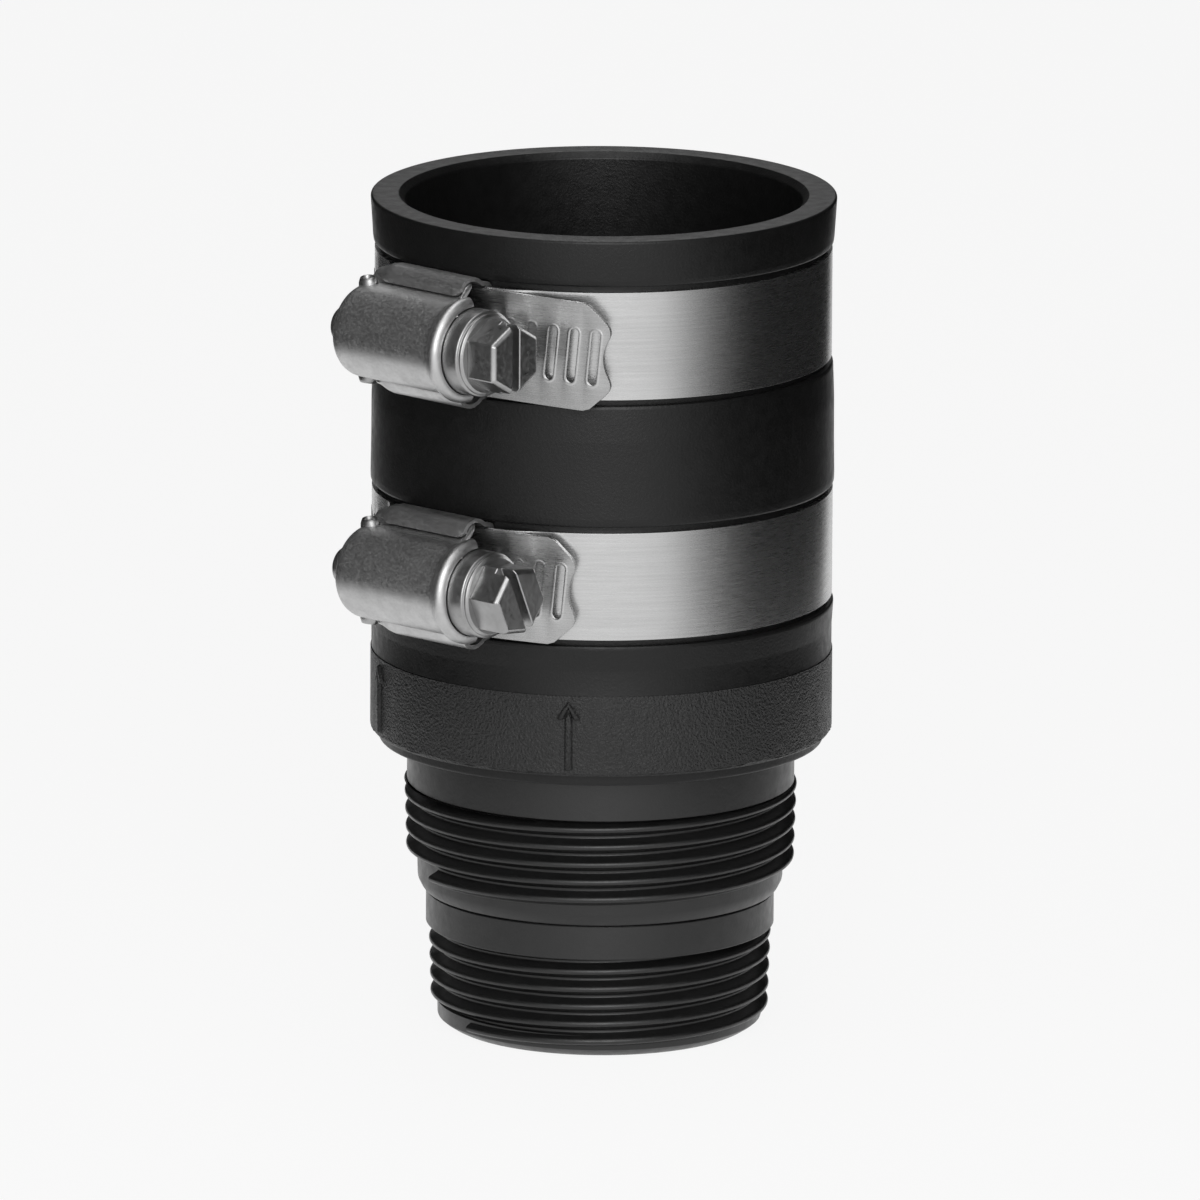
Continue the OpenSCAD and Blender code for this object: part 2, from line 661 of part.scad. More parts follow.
// Angle of a slot, counted from the end of the tail and spaced along the band itself
function slot_at(i, last, seat_r) = i < 0 ? last
    : let (a = slot_at(i - 1, last, seat_r), step = i == 0 ? first_slot : slot_pitch)
        a - step * cos(band_lean(a, seat_r)) / band_mid(a, seat_r) * 180 / PI;

// One clamp part is drawn with X out through the middle of its housing, Y along its screw
// towards the head and Z along the valve, then put in place.
module place_clamp(z, az) {
    translate([0, 0, z]) rotate([0, 0, az]) children();
}

module clamp_band(z, az, seat_r, tail_angle) {
    first = -asin((saddle_back - band_end_inset) / base_mid_r(seat_r));
    last = 360 + tail_angle;
    angles = [for (i = [0 : band_steps]) first + (last - first) * i / band_steps];
    outer = [for (a = angles) let (r = band_mid(a, seat_r) + band_t / 2) [r * cos(a), r * sin(a)]];
    inner = [for (i = [band_steps : -1 : 0])
        let (a = angles[i], r = band_mid(a, seat_r) - band_t / 2) [r * cos(a), r * sin(a)]];
    color(steel_col) place_clamp(z, az) difference() {
        translate([0, 0, -band_w / 2]) linear_extrude(band_w) polygon(concat(outer, inner));
        for (i = [0 : slot_count - 1])
            on_band(slot_at(i, last, seat_r), seat_r) rotate([-slot_lean, 0, 0])
                rotate([0, 90, 0]) translate([0, 0, -band_t / 2 - slot_skin])
                    linear_extrude(band_t + 2 * slot_skin) slot_shape();
        on_band(last, seat_r) rotate([90, 0, 90]) translate([0, 0, -past])
            linear_extrude(2 * past) tail_crop();
    }
}

// One slot of the band, with round ends
module slot_shape() {
    straight = slot_len - slot_w;
    square([straight, slot_w], center = true);
    for (side = [-1, 1]) translate([side * straight / 2, 0]) circle(r = slot_w / 2, $fn = 16);
}

// Moves to a place on the band's middle line, with X out of the band and Y along it
module on_band(a, seat_r) {
    rotate([0, 0, a]) translate([band_mid(a, seat_r), 0, 0])
        rotate([0, 0, -band_lean(a, seat_r)]) children();
}

// What is cropped off the square end of the tail: two corners and a shallow hollow
module tail_crop() {
    half_w = band_w / 2;
    notch_r = (notch_half * notch_half + notch_depth * notch_depth) / 2 / notch_depth;
    for (side = [-1, 1]) polygon([[-crop_len, side * half_w], [past, side * (half_w - crop_w)],
        [past, side * (half_w + past)], [-crop_len, side * (half_w + past)]]);
    translate([notch_r - notch_depth, 0]) circle(r = notch_r);
}

// Section of the saddle's curled edge, in the plane across the screw
module roll_section(w) {
    translate([w, roll_z]) difference() {
        circle(r = roll_outer, $fn = 32);
        circle(r = roll_inner, $fn = 32);
        translate([-2 * roll_outer, -2 * roll_outer]) square([2 * roll_outer, 4 * roll_outer]);
        translate([-past, -2 * roll_outer]) square([2 * roll_outer, 2 * roll_outer - roll_hook]);
    }
}

module clamp_saddle(z, az, seat_r) {
    w_roll = flange_low(seat_r) + flange_t / 2;
    length = saddle_back + saddle_front;
    wall_out = saddle_wall_in + saddle_t;
    color(steel_col) place_clamp(z, az) difference() {
        union() {
            intersection() {
                translate([0, 0, -wall_out])
                    cylinder(r = seat_r + rest_gap + saddle_t, h = 2 * wall_out);
                translate([0, -saddle_back, -wall_out])
                    cube([seat_r + past, length, 2 * wall_out]);
            }
            for (side = [0, 1]) mirror([0, 0, side]) {
                translate([0, -saddle_back, saddle_wall_in])
                    cube([w_roll, length, saddle_t]);
                translate([0, saddle_front, 0]) rotate([90, 0, 0])
                    linear_extrude(length) roll_section(w_roll);
            }
        }
        translate([0, 0, -2 * wall_out]) cylinder(r = seat_r + rest_gap, h = 4 * wall_out);
    }
}

module clamp_housing(z, az, seat_r) {
    axis = screw_axis_r(seat_r);
    foot = flange_low(seat_r);
    length = housing_back + housing_front;
    cavity_r = barrel_r - barrel_t;
    color(steel_col) place_clamp(z, az) difference() {
        union() {
            translate([axis, -housing_back, 0]) rotate([-90, 0, 0])
                cylinder(r = barrel_r, h = length);
            translate([axis, housing_front - flare_len, 0]) rotate([-90, 0, 0])
                cylinder(r1 = barrel_r, r2 = mouth_r, h = flare_len);
            translate([foot, -housing_back, -barrel_r])
                cube([axis - foot, length, 2 * barrel_r]);
            translate([foot, -housing_back, -flange_half_w])
                cube([flange_t, length - flange_short, 2 * flange_half_w]);
        }
        translate([0, -housing_back - past, -mouth_r - past])
            cube([foot, length + 2 * past, 2 * (mouth_r + past)]);
        translate([axis, -housing_back + barrel_t, 0]) rotate([-90, 0, 0])
            cylinder(r = cavity_r, h = length);
        translate([0, -housing_back + barrel_t, -cavity_r])
            cube([axis, length, 2 * cavity_r]);
        translate([axis, -housing_back - past, 0]) rotate([-90, 0, 0])
            cylinder(r = tip_r + running, h = barrel_t + 2 * past);
        translate([axis, housing_front - flare_len, 0]) rotate([-90, 0, 0])
            cylinder(r1 = cavity_r, r2 = mouth_r - barrel_t + mouth_thin, h = flare_len);
    }
}

module clamp_screw(z, az, seat_r, turn) {
    axis = screw_axis_r(seat_r);
    tip_low = -housing_back - tip_out;
    worm_low = -housing_back + barrel_t + worm_end_room;
    worm_top = housing_front - worm_mouth_room;
    worm_len = worm_top - worm_low;
    worm_mouth = worm_root_half + (worm_r + past - worm_root_r) * worm_flank;
    worm_section = [[worm_root_r, worm_root_half], [worm_r + past, worm_mouth],
        [worm_r + past, -worm_mouth], [worm_root_r, -worm_root_half]];
    collar_at = housing_front + collar_room;
    hex_at = collar_at + collar_t;
    hex_r = hex_flats / 2 / cos(30);
    color(zinc_col) place_clamp(z, az) translate([axis, 0, 0]) rotate([-90, 0, 0]) rotate([0, 0, turn])
        difference() {
            union() {
                translate([0, 0, tip_low])
                    cylinder(r1 = tip_r - tip_bevel, r2 = tip_r, h = tip_bevel);
                translate([0, 0, tip_low + tip_bevel])
                    cylinder(r = tip_r, h = worm_low - tip_low - tip_bevel);
                difference() {
                    translate([0, 0, worm_low]) cylinder(r = worm_r, h = worm_len);
                    helix_sweep(worm_section, worm_low + worm_plain, slot_pitch, 0,
                        (worm_len - 2 * worm_plain) / slot_pitch * 360, steps = worm_steps);
                }
                translate([0, 0, worm_top]) cylinder(r = tip_r, h = collar_at - worm_top);
                translate([0, 0, collar_at]) cylinder(r = collar_r, h = collar_t - collar_bevel);
                translate([0, 0, hex_at - collar_bevel])
                    cylinder(r1 = collar_r, r2 = hex_r + hex_inset, h = collar_bevel);
                intersection() {
                    translate([0, 0, hex_at]) rotate([0, 0, 30])
                        cylinder(r = hex_r, h = hex_h, $fn = 6);
                    translate([0, 0, hex_at])
                        cylinder(r1 = hex_r + hex_h * hex_slope, r2 = hex_flats / 2 - hex_inset,
                            h = hex_h);
                }
            }
            translate([-driver_slot_w / 2, -hex_r - past, hex_at + hex_h - driver_slot_depth])
                cube([driver_slot_w, 2 * (hex_r + past), driver_slot_depth + past]);
        }
}

module lower_clamp_band() { clamp_band(z_low_clamp, low_housing_az, low_seat_r, low_tail_angle); }
module lower_clamp_saddle() { clamp_saddle(z_low_clamp, low_housing_az, low_seat_r); }
module lower_clamp_housing() { clamp_housing(z_low_clamp, low_housing_az, low_seat_r); }
module lower_clamp_screw() {
    clamp_screw(z_low_clamp, low_housing_az, low_seat_r, low_screw_turn);
}
module upper_clamp_band() { clamp_band(z_top_clamp, top_housing_az, top_seat_r, top_tail_angle); }
module upper_clamp_saddle() { clamp_saddle(z_top_clamp, top_housing_az, top_seat_r); }
module upper_clamp_housing() { clamp_housing(z_top_clamp, top_housing_az, top_seat_r); }
module upper_clamp_screw() {
    clamp_screw(z_top_clamp, top_housing_az, top_seat_r, top_screw_turn);
}

threaded_body();
rubber_sleeve();
seat_ring();
seat_o_ring();
snap_ring();
hinge_pin();
flapper_disc();
flapper_plate();
flapper_weight();
flapper_screw();
flapper_washer();
flapper_nut();
lower_clamp_band();
lower_clamp_saddle();
lower_clamp_housing();
lower_clamp_screw();
upper_clamp_band();
upper_clamp_saddle();
upper_clamp_housing();
upper_clamp_screw();
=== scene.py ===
"""Dresses the threaded non-return valve: threads, rubber sleeve, clamps and looks."""

import math

import bmesh
import bpy
import numpy
from mathutils import Matrix, Quaternion, Vector, noise


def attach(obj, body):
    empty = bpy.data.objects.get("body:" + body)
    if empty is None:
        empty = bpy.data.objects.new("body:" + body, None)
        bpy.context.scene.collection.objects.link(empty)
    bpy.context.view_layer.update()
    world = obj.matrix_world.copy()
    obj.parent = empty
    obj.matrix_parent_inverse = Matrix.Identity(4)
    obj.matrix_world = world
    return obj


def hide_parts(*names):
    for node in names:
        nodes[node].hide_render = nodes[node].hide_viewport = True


MM = 0.001
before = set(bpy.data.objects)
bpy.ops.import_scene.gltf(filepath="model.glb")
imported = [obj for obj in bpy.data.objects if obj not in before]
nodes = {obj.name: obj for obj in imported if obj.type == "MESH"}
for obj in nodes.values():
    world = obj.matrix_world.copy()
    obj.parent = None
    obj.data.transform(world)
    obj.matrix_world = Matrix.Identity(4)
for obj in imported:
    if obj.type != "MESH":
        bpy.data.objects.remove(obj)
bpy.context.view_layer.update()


# Sizes in millimetres, as in the CAD source. Threads and necks of the plastic body
PITCH = 2.2087
THREAD_DEPTH = 1.3
TAPER = 0.03125
SMALL_R, LARGE_R = 21.08, 24.13
Z_SMALL, Z_LARGE, Z_LARGE_TOP, Z_SLEEVE = 12.7, 17.2, 30.6, 36.0
Z_SPIGOT = 67.0
Z_LEDGE = Z_SLEEVE + 2
Z_SNAP_LOW, Z_SNAP_TOP = 42.0, 43.2
BORE_R, PASSAGE_R, CHAMBER_R, SPIGOT_R, SOCKET_R = 16.2, 18.6, 21.6, 24.0, 24.3
NECK_LOW_R, NECK_TOP_R = 21.4, 23.8
# Rubber sleeve and its flow arrows
SLEEVE_R = 28.35
GROOVE_HALF = 7.4
ARROW_AZ = (262, 197)
ARROW_LOW, ARROW_TIP = 38.15, 46.6
# Clamps: where they sit, and how far the housing's foot and the screw's axis are from the seat
Z_LOW_CLAMP, Z_TOP_CLAMP = 61.05, 90.9
LOW_SEAT_R, TOP_SEAT_R = 27.6, 27.35
LOW_AZ, TOP_AZ = 228, 226.5
FOOT_OUT, AXIS_OUT = 2.25, 5.95
# Housing and saddle, with their lengths behind and in front of the clamp's middle
BARREL_T = 0.85
BACK, FRONT = 8.9, 9.7
SADDLE_BACK, SADDLE_FRONT = 8.0, 6.55
# Screw
TIP_R, TIP_OUT = 2.5, 3.25
COLLAR_R = 5.3
HEX_HALF, HEX_H = 3.95, 4.4
# Band, its middle line's distance from the seat, and its slots
BAND_HALF, BAND_T, BAND_OUT = 6.65, 0.6, 0.35
TAIL_BEND_R = 400
SLOT_COUNT, SLOT_PITCH, FIRST_SLOT = 22, 2.8, 2.55
SLOT_HALF_W, SLOT_HALF_L = 0.65, 2.85
SLOT_LEAN = math.radians(5.5)
# Points nearer than this, in metres, are one point
MERGE = 1e-7
# Radius in metres at which grain that runs round the axis keeps its scale
ROUND_R = 0.028
# Segments of the turned skins
LATHE_STEPS = 384

# Dark cards beside the object, in metres
CARD_X = 0.16

# Camera, set on the photograph: its height above the horizon, its distance and how it leans
CAM_ELEVATION = math.radians(12.9)
CAM_DISTANCE = 3.0
CAM_AIM = Vector((-0.0002, 0.0, 0.053))
CAM_LEAN = math.radians(0.34)
PIXELS_PER_MM = 8.15
IMAGE_WIDTH = 1200
SENSOR_MM = 36.0


def make_camera():
    """The camera at the photograph's viewing angle."""
    cam_data = bpy.data.cameras.new("camera")
    cam = bpy.data.objects.new("camera", cam_data)
    bpy.context.scene.collection.objects.link(cam)
    back = Vector((0, -math.cos(CAM_ELEVATION), math.sin(CAM_ELEVATION)))
    cam.location = CAM_AIM + back * CAM_DISTANCE
    cam.rotation_mode = "QUATERNION"
    lean = Quaternion((0, 0, 1), CAM_LEAN)
    cam.rotation_quaternion = (-back).to_track_quat("-Z", "Y") @ lean
    cam_data.sensor_width = SENSOR_MM
    cam_data.lens = PIXELS_PER_MM * (CAM_DISTANCE / MM) * SENSOR_MM / IMAGE_WIDTH
    cam_data.clip_start = 0.1
    cam_data.clip_end = 50
    bpy.context.scene.camera = cam


# Mesh helpers. Everything below is drawn in millimetres and stored in metres.
def plain_object(name, verts, faces, turn=None):
    """An object from millimetre points, cleaned of doubles and with its faces turned outwards."""
    mesh = bpy.data.meshes.new(name)
    place = turn or Matrix.Identity(4)
    mesh.from_pydata([(place @ Vector(v)) * MM for v in verts], [], faces)
    clean = bmesh.new()
    clean.from_mesh(mesh)
    bmesh.ops.remove_doubles(clean, verts=clean.verts, dist=MERGE)
    bmesh.ops.dissolve_degenerate(clean, edges=clean.edges, dist=MERGE)
    bmesh.ops.recalc_face_normals(clean, faces=clean.faces)
    clean.to_mesh(mesh)
    clean.free()
    made = bpy.data.objects.new(name, mesh)
    bpy.context.scene.collection.objects.link(made)
    return made


def shade_smooth(piece):
    """Sets all faces of a piece to smooth shading."""
    piece.data.polygons.foreach_set("use_smooth", [True] * len(piece.data.polygons))


def mesh_piece(name, verts, faces, material, body, smooth_deg, turn=None):
    """A piece from millimetre points, riding on a body, sharp at edges above smooth_deg."""
    piece = plain_object(name, verts, faces, turn)
    shade_smooth(piece)
    piece.data.set_sharp_from_angle(angle=math.radians(smooth_deg))
    piece.data.materials.append(material)
    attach(piece, body)
    return piece


def grid(rows, close_rows=False, close_ring=False, start=0):
    """Faces that join equal rows of points, whose numbering begins at start."""
    count, width = len(rows), len(rows[0])
    faces = []
    for i in range(count if close_ring else count - 1):
        for k in range(width if close_rows else width - 1):
            a = start + i * width
            b = start + (i + 1) % count * width
            faces.append((a + k, a + (k + 1) % width, b + (k + 1) % width, b + k))
    return faces


def flatten(rows):
    """All points of the rows in one list."""
    return [p for row in rows for p in row]


def lathe(profile):
    """Points and faces of a closed profile of (radius, height) turned round the valve's axis."""
    rows = []
    for i in range(LATHE_STEPS):
        a = math.tau * i / LATHE_STEPS
        rows.append([(r * math.cos(a), r * math.sin(a), z) for r, z in profile])
    return flatten(rows), grid(rows, close_rows=True, close_ring=True)


def rounded(corners, steps):
    """A closed outline from corners of (point, radius), each rounded by its radius."""
    points = [p for p, _ in corners]
    out = []
    n = len(points)
    for i, (p, r) in enumerate(corners):
        here = Vector(p)
        back = Vector(points[i - 1]) - here
        ahead = Vector(points[(i + 1) % n]) - here
        if r <= 0:
            out.append(tuple(p))
            continue
        half = back.angle(ahead) / 2
        cut = min(r / math.tan(half), 0.49 * back.length, 0.49 * ahead.length)
        a = here + back.normalized() * cut
        b = here + ahead.normalized() * cut
        for k in range(steps + 1):
            t = k / steps
            out.append(tuple(a * (1 - t) ** 2 + here * 2 * t * (1 - t) + b * t ** 2))
    return out


# Materials
class Nodes:
    """A short way to write a node tree."""

    def __init__(self, name):
        self.material = bpy.data.materials.new(name)
        self.material.use_nodes = True
        self.tree = self.material.node_tree
        self.shader = self.tree.nodes["Principled BSDF"]
        self.coords = self.add("ShaderNodeTexCoord").outputs["Object"]

    def add(self, kind, **values):
        """A new node, with the values given set on the node or on its inputs."""
        node = self.tree.nodes.new(kind)
        for key, value in values.items():
            if hasattr(node, key):
                setattr(node, key, value)
            else:
                node.inputs[key.replace("_", " ")].default_value = value
        return node

    def link(self, out, socket):
        self.tree.links.new(out, socket)

    def noise(self, scale, detail, stretch=None, coords=None):
        """Noise at a scale per metre, on stretched coordinates where asked."""
        source = coords or self.coords
        if stretch:
            mapping = self.add("ShaderNodeMapping")
            mapping.inputs["Scale"].default_value = stretch
            self.link(source, mapping.inputs["Vector"])
            source = mapping.outputs["Vector"]
        node = self.add("ShaderNodeTexNoise", Scale=scale, Detail=detail)
        self.link(source, node.inputs["Vector"])
        return node.outputs["Fac"]

    def ramp(self, source, stops):
        """Grey from a value, by stops of (place, grey)."""
        node = self.add("ShaderNodeValToRGB")
        self.link(source, node.inputs["Fac"])
        band = node.color_ramp
        while len(band.elements) < len(stops):
            band.elements.new(0.5)
        for element, (place, grey) in zip(band.elements, stops):
            element.position = place
            element.color = (grey, grey, grey, 1)
        return node.outputs["Color"]

    def multiply(self, a, b):
        """Two colours multiplied."""
        node = self.add("ShaderNodeMix", data_type="RGBA", blend_type="MULTIPLY")
        node.inputs[0].default_value = 1.0
        self.link(a, node.inputs[6])
        self.link(b, node.inputs[7])
        return node.outputs[2]

    def bump(self, height, strength, distance, below=None):
        """A normal bent by a height, on top of another normal where one is given."""
        node = self.add("ShaderNodeBump", Strength=strength, Distance=distance)
        self.link(height, node.inputs["Height"])
        if below is not None:
            self.link(below, node.inputs["Normal"])
        return node.outputs["Normal"]

    def round_coords(self):
        """Coordinates that run round the valve's axis: angle, radius and height, in metres."""
        split = self.add("ShaderNodeSeparateXYZ")
        self.link(self.coords, split.inputs["Vector"])
        angle = self.add("ShaderNodeMath", operation="ARCTAN2")
        self.link(split.outputs["Y"], angle.inputs[0])
        self.link(split.outputs["X"], angle.inputs[1])
        length = self.add("ShaderNodeMath", operation="MULTIPLY")
        length.inputs[1].default_value = ROUND_R
        self.link(angle.outputs[0], length.inputs[0])
        joined = self.add("ShaderNodeCombineXYZ")
        self.link(length.outputs[0], joined.inputs["X"])
        self.link(split.outputs["Z"], joined.inputs["Z"])
        return joined.outputs["Vector"]

    def done(self, **values):
        """Sets constant values on the shader's own sockets and gives the material back."""
        for key, value in values.items():
            self.shader.inputs[key.replace("_", " ")].default_value = value
        return self.material


def moulded(name, base, roughness, grain_scale, grain_depth, speck=0.0, level=0.35):
    """Black moulded rubber or plastic: fine grain, faint cloudiness and pale specks of dust."""
    m = Nodes(name)
    cloud = m.ramp(m.noise(90, 4), [(0.3, base * 0.82), (0.7, base * 1.18)])
    specks = m.ramp(m.noise(5200, 2), [(0.66, 1.0), (0.76, 1.0 + speck)])
    m.link(m.multiply(cloud, specks), m.shader.inputs["Base Color"])
    m.link(m.ramp(m.noise(700, 4), [(0.3, roughness - 0.05), (0.7, roughness + 0.07)]),
           m.shader.inputs["Roughness"])
    coarse = m.bump(m.noise(grain_scale, 2), 0.5, grain_depth)
    m.link(m.bump(m.noise(grain_scale * 3.1, 2), 0.35, grain_depth * 0.4, coarse),
           m.shader.inputs["Normal"])
    return m.done(Specular_IOR_Level=level)


def brushed(name, base, roughness, round_axis, stretch, mottle, grain, stain_scale):
    """Steel with lines round the valve's axis, or with an even grain where stretch is even."""
    m = Nodes(name)
    coords = m.round_coords() if round_axis else m.coords
    lines = m.noise(grain, 6, stretch, coords)
    fine = m.noise(grain * 6, 3, stretch, coords)
    stain = m.noise(stain_scale, 4)
    tone = m.ramp(lines, [(0.3, base * (1 - mottle)), (0.7, base * (1 + mottle))])
    blotch = m.ramp(stain, [(0.3, 1 - mottle), (0.65, 1.0)])
    m.link(m.multiply(tone, blotch), m.shader.inputs["Base Color"])
    m.link(m.ramp(fine, [(0.25, roughness * 0.75), (0.75, roughness * 1.3)]),
           m.shader.inputs["Roughness"])
    first = m.bump(lines, 0.25, 0.00002)
    m.link(m.bump(fine, 0.25, 0.00001, first), m.shader.inputs["Normal"])
    return m.done(Metallic=1.0)


rubber = moulded("sleeve_rubber", 0.008, 0.37, 3000, 0.00006, 0.5, 0.33)
grained = moulded("grained_rubber", 0.013, 0.4, 3000, 0.0006, 2.0, 0.45)
plastic = moulded("body_plastic", 0.010, 0.36, 2400, 0.00003, 0.4, 0.55)
inner_rubber = moulded("flapper_rubber", 0.012, 0.5, 2500, 0.00005)
band_steel = brushed("band_steel", 0.56, 0.26, True, (1, 1, 60), 0.06, 60, 120)
housing_steel = brushed("housing_steel", 0.58, 0.42, False, (1, 1, 1), 0.08, 500, 700)
# Darker steel for the screws, also laid on the housing's ears as painted shade
screw_steel_and_ear_shade = brushed("screw_steel_and_ear_shade", 0.42, 0.36, False, (1, 1, 1), 0.12, 300, 400)
hidden_steel = brushed("inner_steel", 0.55, 0.34, False, (1, 1, 1), 0.08, 500, 700)


def dress_nodes():
    """Gives every carried-over CAD node its material."""
    looks = {
        "threaded_body": plastic, "rubber_sleeve": rubber, "seat_ring": plastic,
        "seat_o_ring": inner_rubber, "snap_ring": hidden_steel, "hinge_pin": hidden_steel,
        "flapper_disc": inner_rubber, "flapper_plate": hidden_steel,
        "flapper_weight": hidden_steel, "flapper_screw": screw_steel_and_ear_shade,
        "flapper_washer": hidden_steel, "flapper_nut": screw_steel_and_ear_shade,
    }
    for name, piece in nodes.items():
        if name in looks:
            look = looks[name]
        elif name.endswith("band"):
            look = band_steel
        elif name.endswith("screw"):
            look = screw_steel_and_ear_shade
        else:
            look = housing_steel
        piece.data.materials.clear()
        piece.data.materials.append(look)


# The rays that see the white background
SEEN_BY = ("Is Camera Ray", "Is Glossy Ray", "Is Transmission Ray")


def light_path_mix(tree, seen, other, share, kinds):
    """Shows one shader to the rays named, by the share given, and another one to the rest."""
    path = tree.nodes.new("ShaderNodeLightPath")
    value = None
    for kind in kinds:
        if value is None:
            value = path.outputs[kind]
            continue
        either = tree.nodes.new("ShaderNodeMath")
        either.operation = "MAXIMUM"
        tree.links.new(value, either.inputs[0])
        tree.links.new(path.outputs[kind], either.inputs[1])
        value = either.outputs[0]
    part = tree.nodes.new("ShaderNodeMath")
    part.operation = "MULTIPLY"
    part.inputs[1].default_value = share
    tree.links.new(value, part.inputs[0])
    mix = tree.nodes.new("ShaderNodeMixShader")
    tree.links.new(part.outputs[0], mix.inputs["Fac"])
    tree.links.new(other.outputs[0], mix.inputs[1])
    tree.links.new(seen.outputs[0], mix.inputs[2])
    return mix.outputs[0]


def stage_material(name, colour, glow_share):
    """A plain matt material, part of which glows white for the camera and for reflections."""
    look = bpy.data.materials.new(name)
    look.use_nodes = True
    tree = look.node_tree
    tree.nodes.clear()
    out = tree.nodes.new("ShaderNodeOutputMaterial")
    diffuse = tree.nodes.new("ShaderNodeBsdfDiffuse")
    diffuse.inputs["Color"].default_value = (colour, colour, colour, 1)
    surface = diffuse.outputs[0]
    if glow_share > 0:
        glow = tree.nodes.new("ShaderNodeEmission")
        glow.inputs["Strength"].default_value = 1.0
        surface = light_path_mix(tree, glow, diffuse, glow_share, SEEN_BY)
    tree.links.new(surface, out.inputs["Surface"])
    return look


def card_material(name, shade):
    """A dark card that fades out towards its two upright edges."""
    look = stage_material(name, shade, 0)
    tree = look.node_tree
    coords = tree.nodes.new("ShaderNodeTexCoord")
    split = tree.nodes.new("ShaderNodeSeparateXYZ")
    tree.links.new(coords.outputs["Object"], split.inputs["Vector"])
    fades = []
    for start, end in ((-0.34, -0.04), (1.25, 0.95)):
        fade = tree.nodes.new("ShaderNodeMapRange")
        fade.interpolation_type = "SMOOTHSTEP"
        fade.inputs["From Min"].default_value = start
        fade.inputs["From Max"].default_value = end
        tree.links.new(split.outputs["Y"], fade.inputs["Value"])
        fades.append(fade.outputs["Result"])
    both = tree.nodes.new("ShaderNodeMath")
    both.operation = "MULTIPLY"
    tree.links.new(fades[0], both.inputs[0])
    tree.links.new(fades[1], both.inputs[1])
    clear = tree.nodes.new("ShaderNodeBsdfTransparent")
    mix = tree.nodes.new("ShaderNodeMixShader")
    tree.links.new(both.outputs[0], mix.inputs["Fac"])
    tree.links.new(clear.outputs[0], mix.inputs[1])
    tree.links.new(tree.nodes["Diffuse BSDF"].outputs[0], mix.inputs[2])
    tree.links.new(mix.outputs[0], tree.nodes["Material Output"].inputs["Surface"])
    return look


def stage_card(name, corners, material):
    """A card that the camera doesn't see, from four corners in metres."""
    mesh = bpy.data.meshes.new(name)
    mesh.from_pydata(corners, [], [(0, 1, 2, 3)])
    mesh.materials.append(material)
    card = bpy.data.objects.new(name, mesh)
    bpy.context.scene.collection.objects.link(card)
    card.visible_camera = False


def make_stage():
    """Pale floor in a white room, soft lamps, a dark card on each side and a grey one behind."""
    scene = bpy.context.scene
    scene.view_settings.view_transform = "Standard"
    world = bpy.data.worlds.new("white_room")
    scene.world = world
    world.use_nodes = True
    tree = world.node_tree
    tree.nodes.clear()
    out = tree.nodes.new("ShaderNodeOutputWorld")
    shades = []
    for strength in (1.0, 0.45):
        shade = tree.nodes.new("ShaderNodeBackground")
        shade.inputs["Color"].default_value = (1, 1, 1, 1)
        shade.inputs["Strength"].default_value = strength
        shades.append(shade)
    tree.links.new(light_path_mix(tree, *shades, 1.0, SEEN_BY), out.inputs["Surface"])

    bpy.ops.mesh.primitive_plane_add(size=6, location=(0, 0, 0))
    floor = bpy.context.object
    floor.name = "floor"
    floor.data.materials.append(stage_material("floor_white", 0.9, 0.9))

    for name, side, shade in (("card_left", -1, 0.2), ("card_right", 1, 0.07)):
        x, near, far, low, high = side * CARD_X, -0.42, 1.27, 0.001, 0.8
        stage_card(name, [(x, near, low), (x, far, low), (x, far, high), (x, near, high)],
                   card_material(name, shade))
    x, y, low, high = 0.9, 1.4, 0.12, 1.3
    stage_card("card_back", [(-x, y, low), (x, y, low), (x, y, high), (-x, y, high)],
               stage_material("card_back", 0.5, 0))

    for name, place, size, power in (
            ("front_soft", (0.04, -1.3, 0.6), (0.75, 1.0), 8),
            ("back_soft", (-0.1, 1.3, 0.8), (0.8, 0.8), 2),
            ("top_soft", (0.0, -0.1, 1.2), (0.7, 0.7), 2)):
        lamp = bpy.data.lights.new(name, "AREA")
        lamp.shape = "RECTANGLE"
        lamp.size, lamp.size_y = size
        lamp.energy = power
        holder = bpy.data.objects.new(name, lamp)
        bpy.context.scene.collection.objects.link(holder)
        holder.location = place
        aim = Vector((0, 0, 0.05)) - Vector(place)
        holder.rotation_mode = "QUATERNION"
        holder.rotation_quaternion = aim.to_track_quat("-Z", "Y")


# Threaded body: a turned core with helical ridges on it
def core_r(top_r, below):
    """Radius of a thread's root, at a distance below the thread's top."""
    return top_r - THREAD_DEPTH - TAPER * below


def ridge(top_r, z_low, z_top, start_z, start_az):
    """Points and faces of one helical thread ridge with rounded root and crest."""
    steps = 160
    half = PITCH / 2
    deep = THREAD_DEPTH
    upper = [(-0.5, half), (0.0, half), (0.0, half - 0.12), (0.03, half - 0.18),
             (0.1, half - 0.25), (deep - 0.32, 0.42), (deep - 0.2, 0.36), (deep - 0.1, 0.28),
             (deep - 0.03, 0.17), (deep, 0.05)]
    section = upper + [(r, -z) for r, z in reversed(upper)]
    count = math.ceil((z_top - z_low - start_z) / PITCH * steps)
    rows = []
    for i in range(count + 1):
        turn = i / steps
        a = math.radians(start_az) + math.tau * turn
        mid = z_low + start_z + half + PITCH * turn
        root = core_r(top_r, z_top - min(mid, z_top))
        rows.append([((root + r) * math.cos(a), (root + r) * math.sin(a),
                      min(mid + z, z_top - 0.01)) for r, z in section])
    faces = grid(rows, close_rows=True)
    n = len(section)
    faces += [tuple(range(n)), tuple(reversed(range(count * n, count * n + n)))]
    return flatten(rows), faces


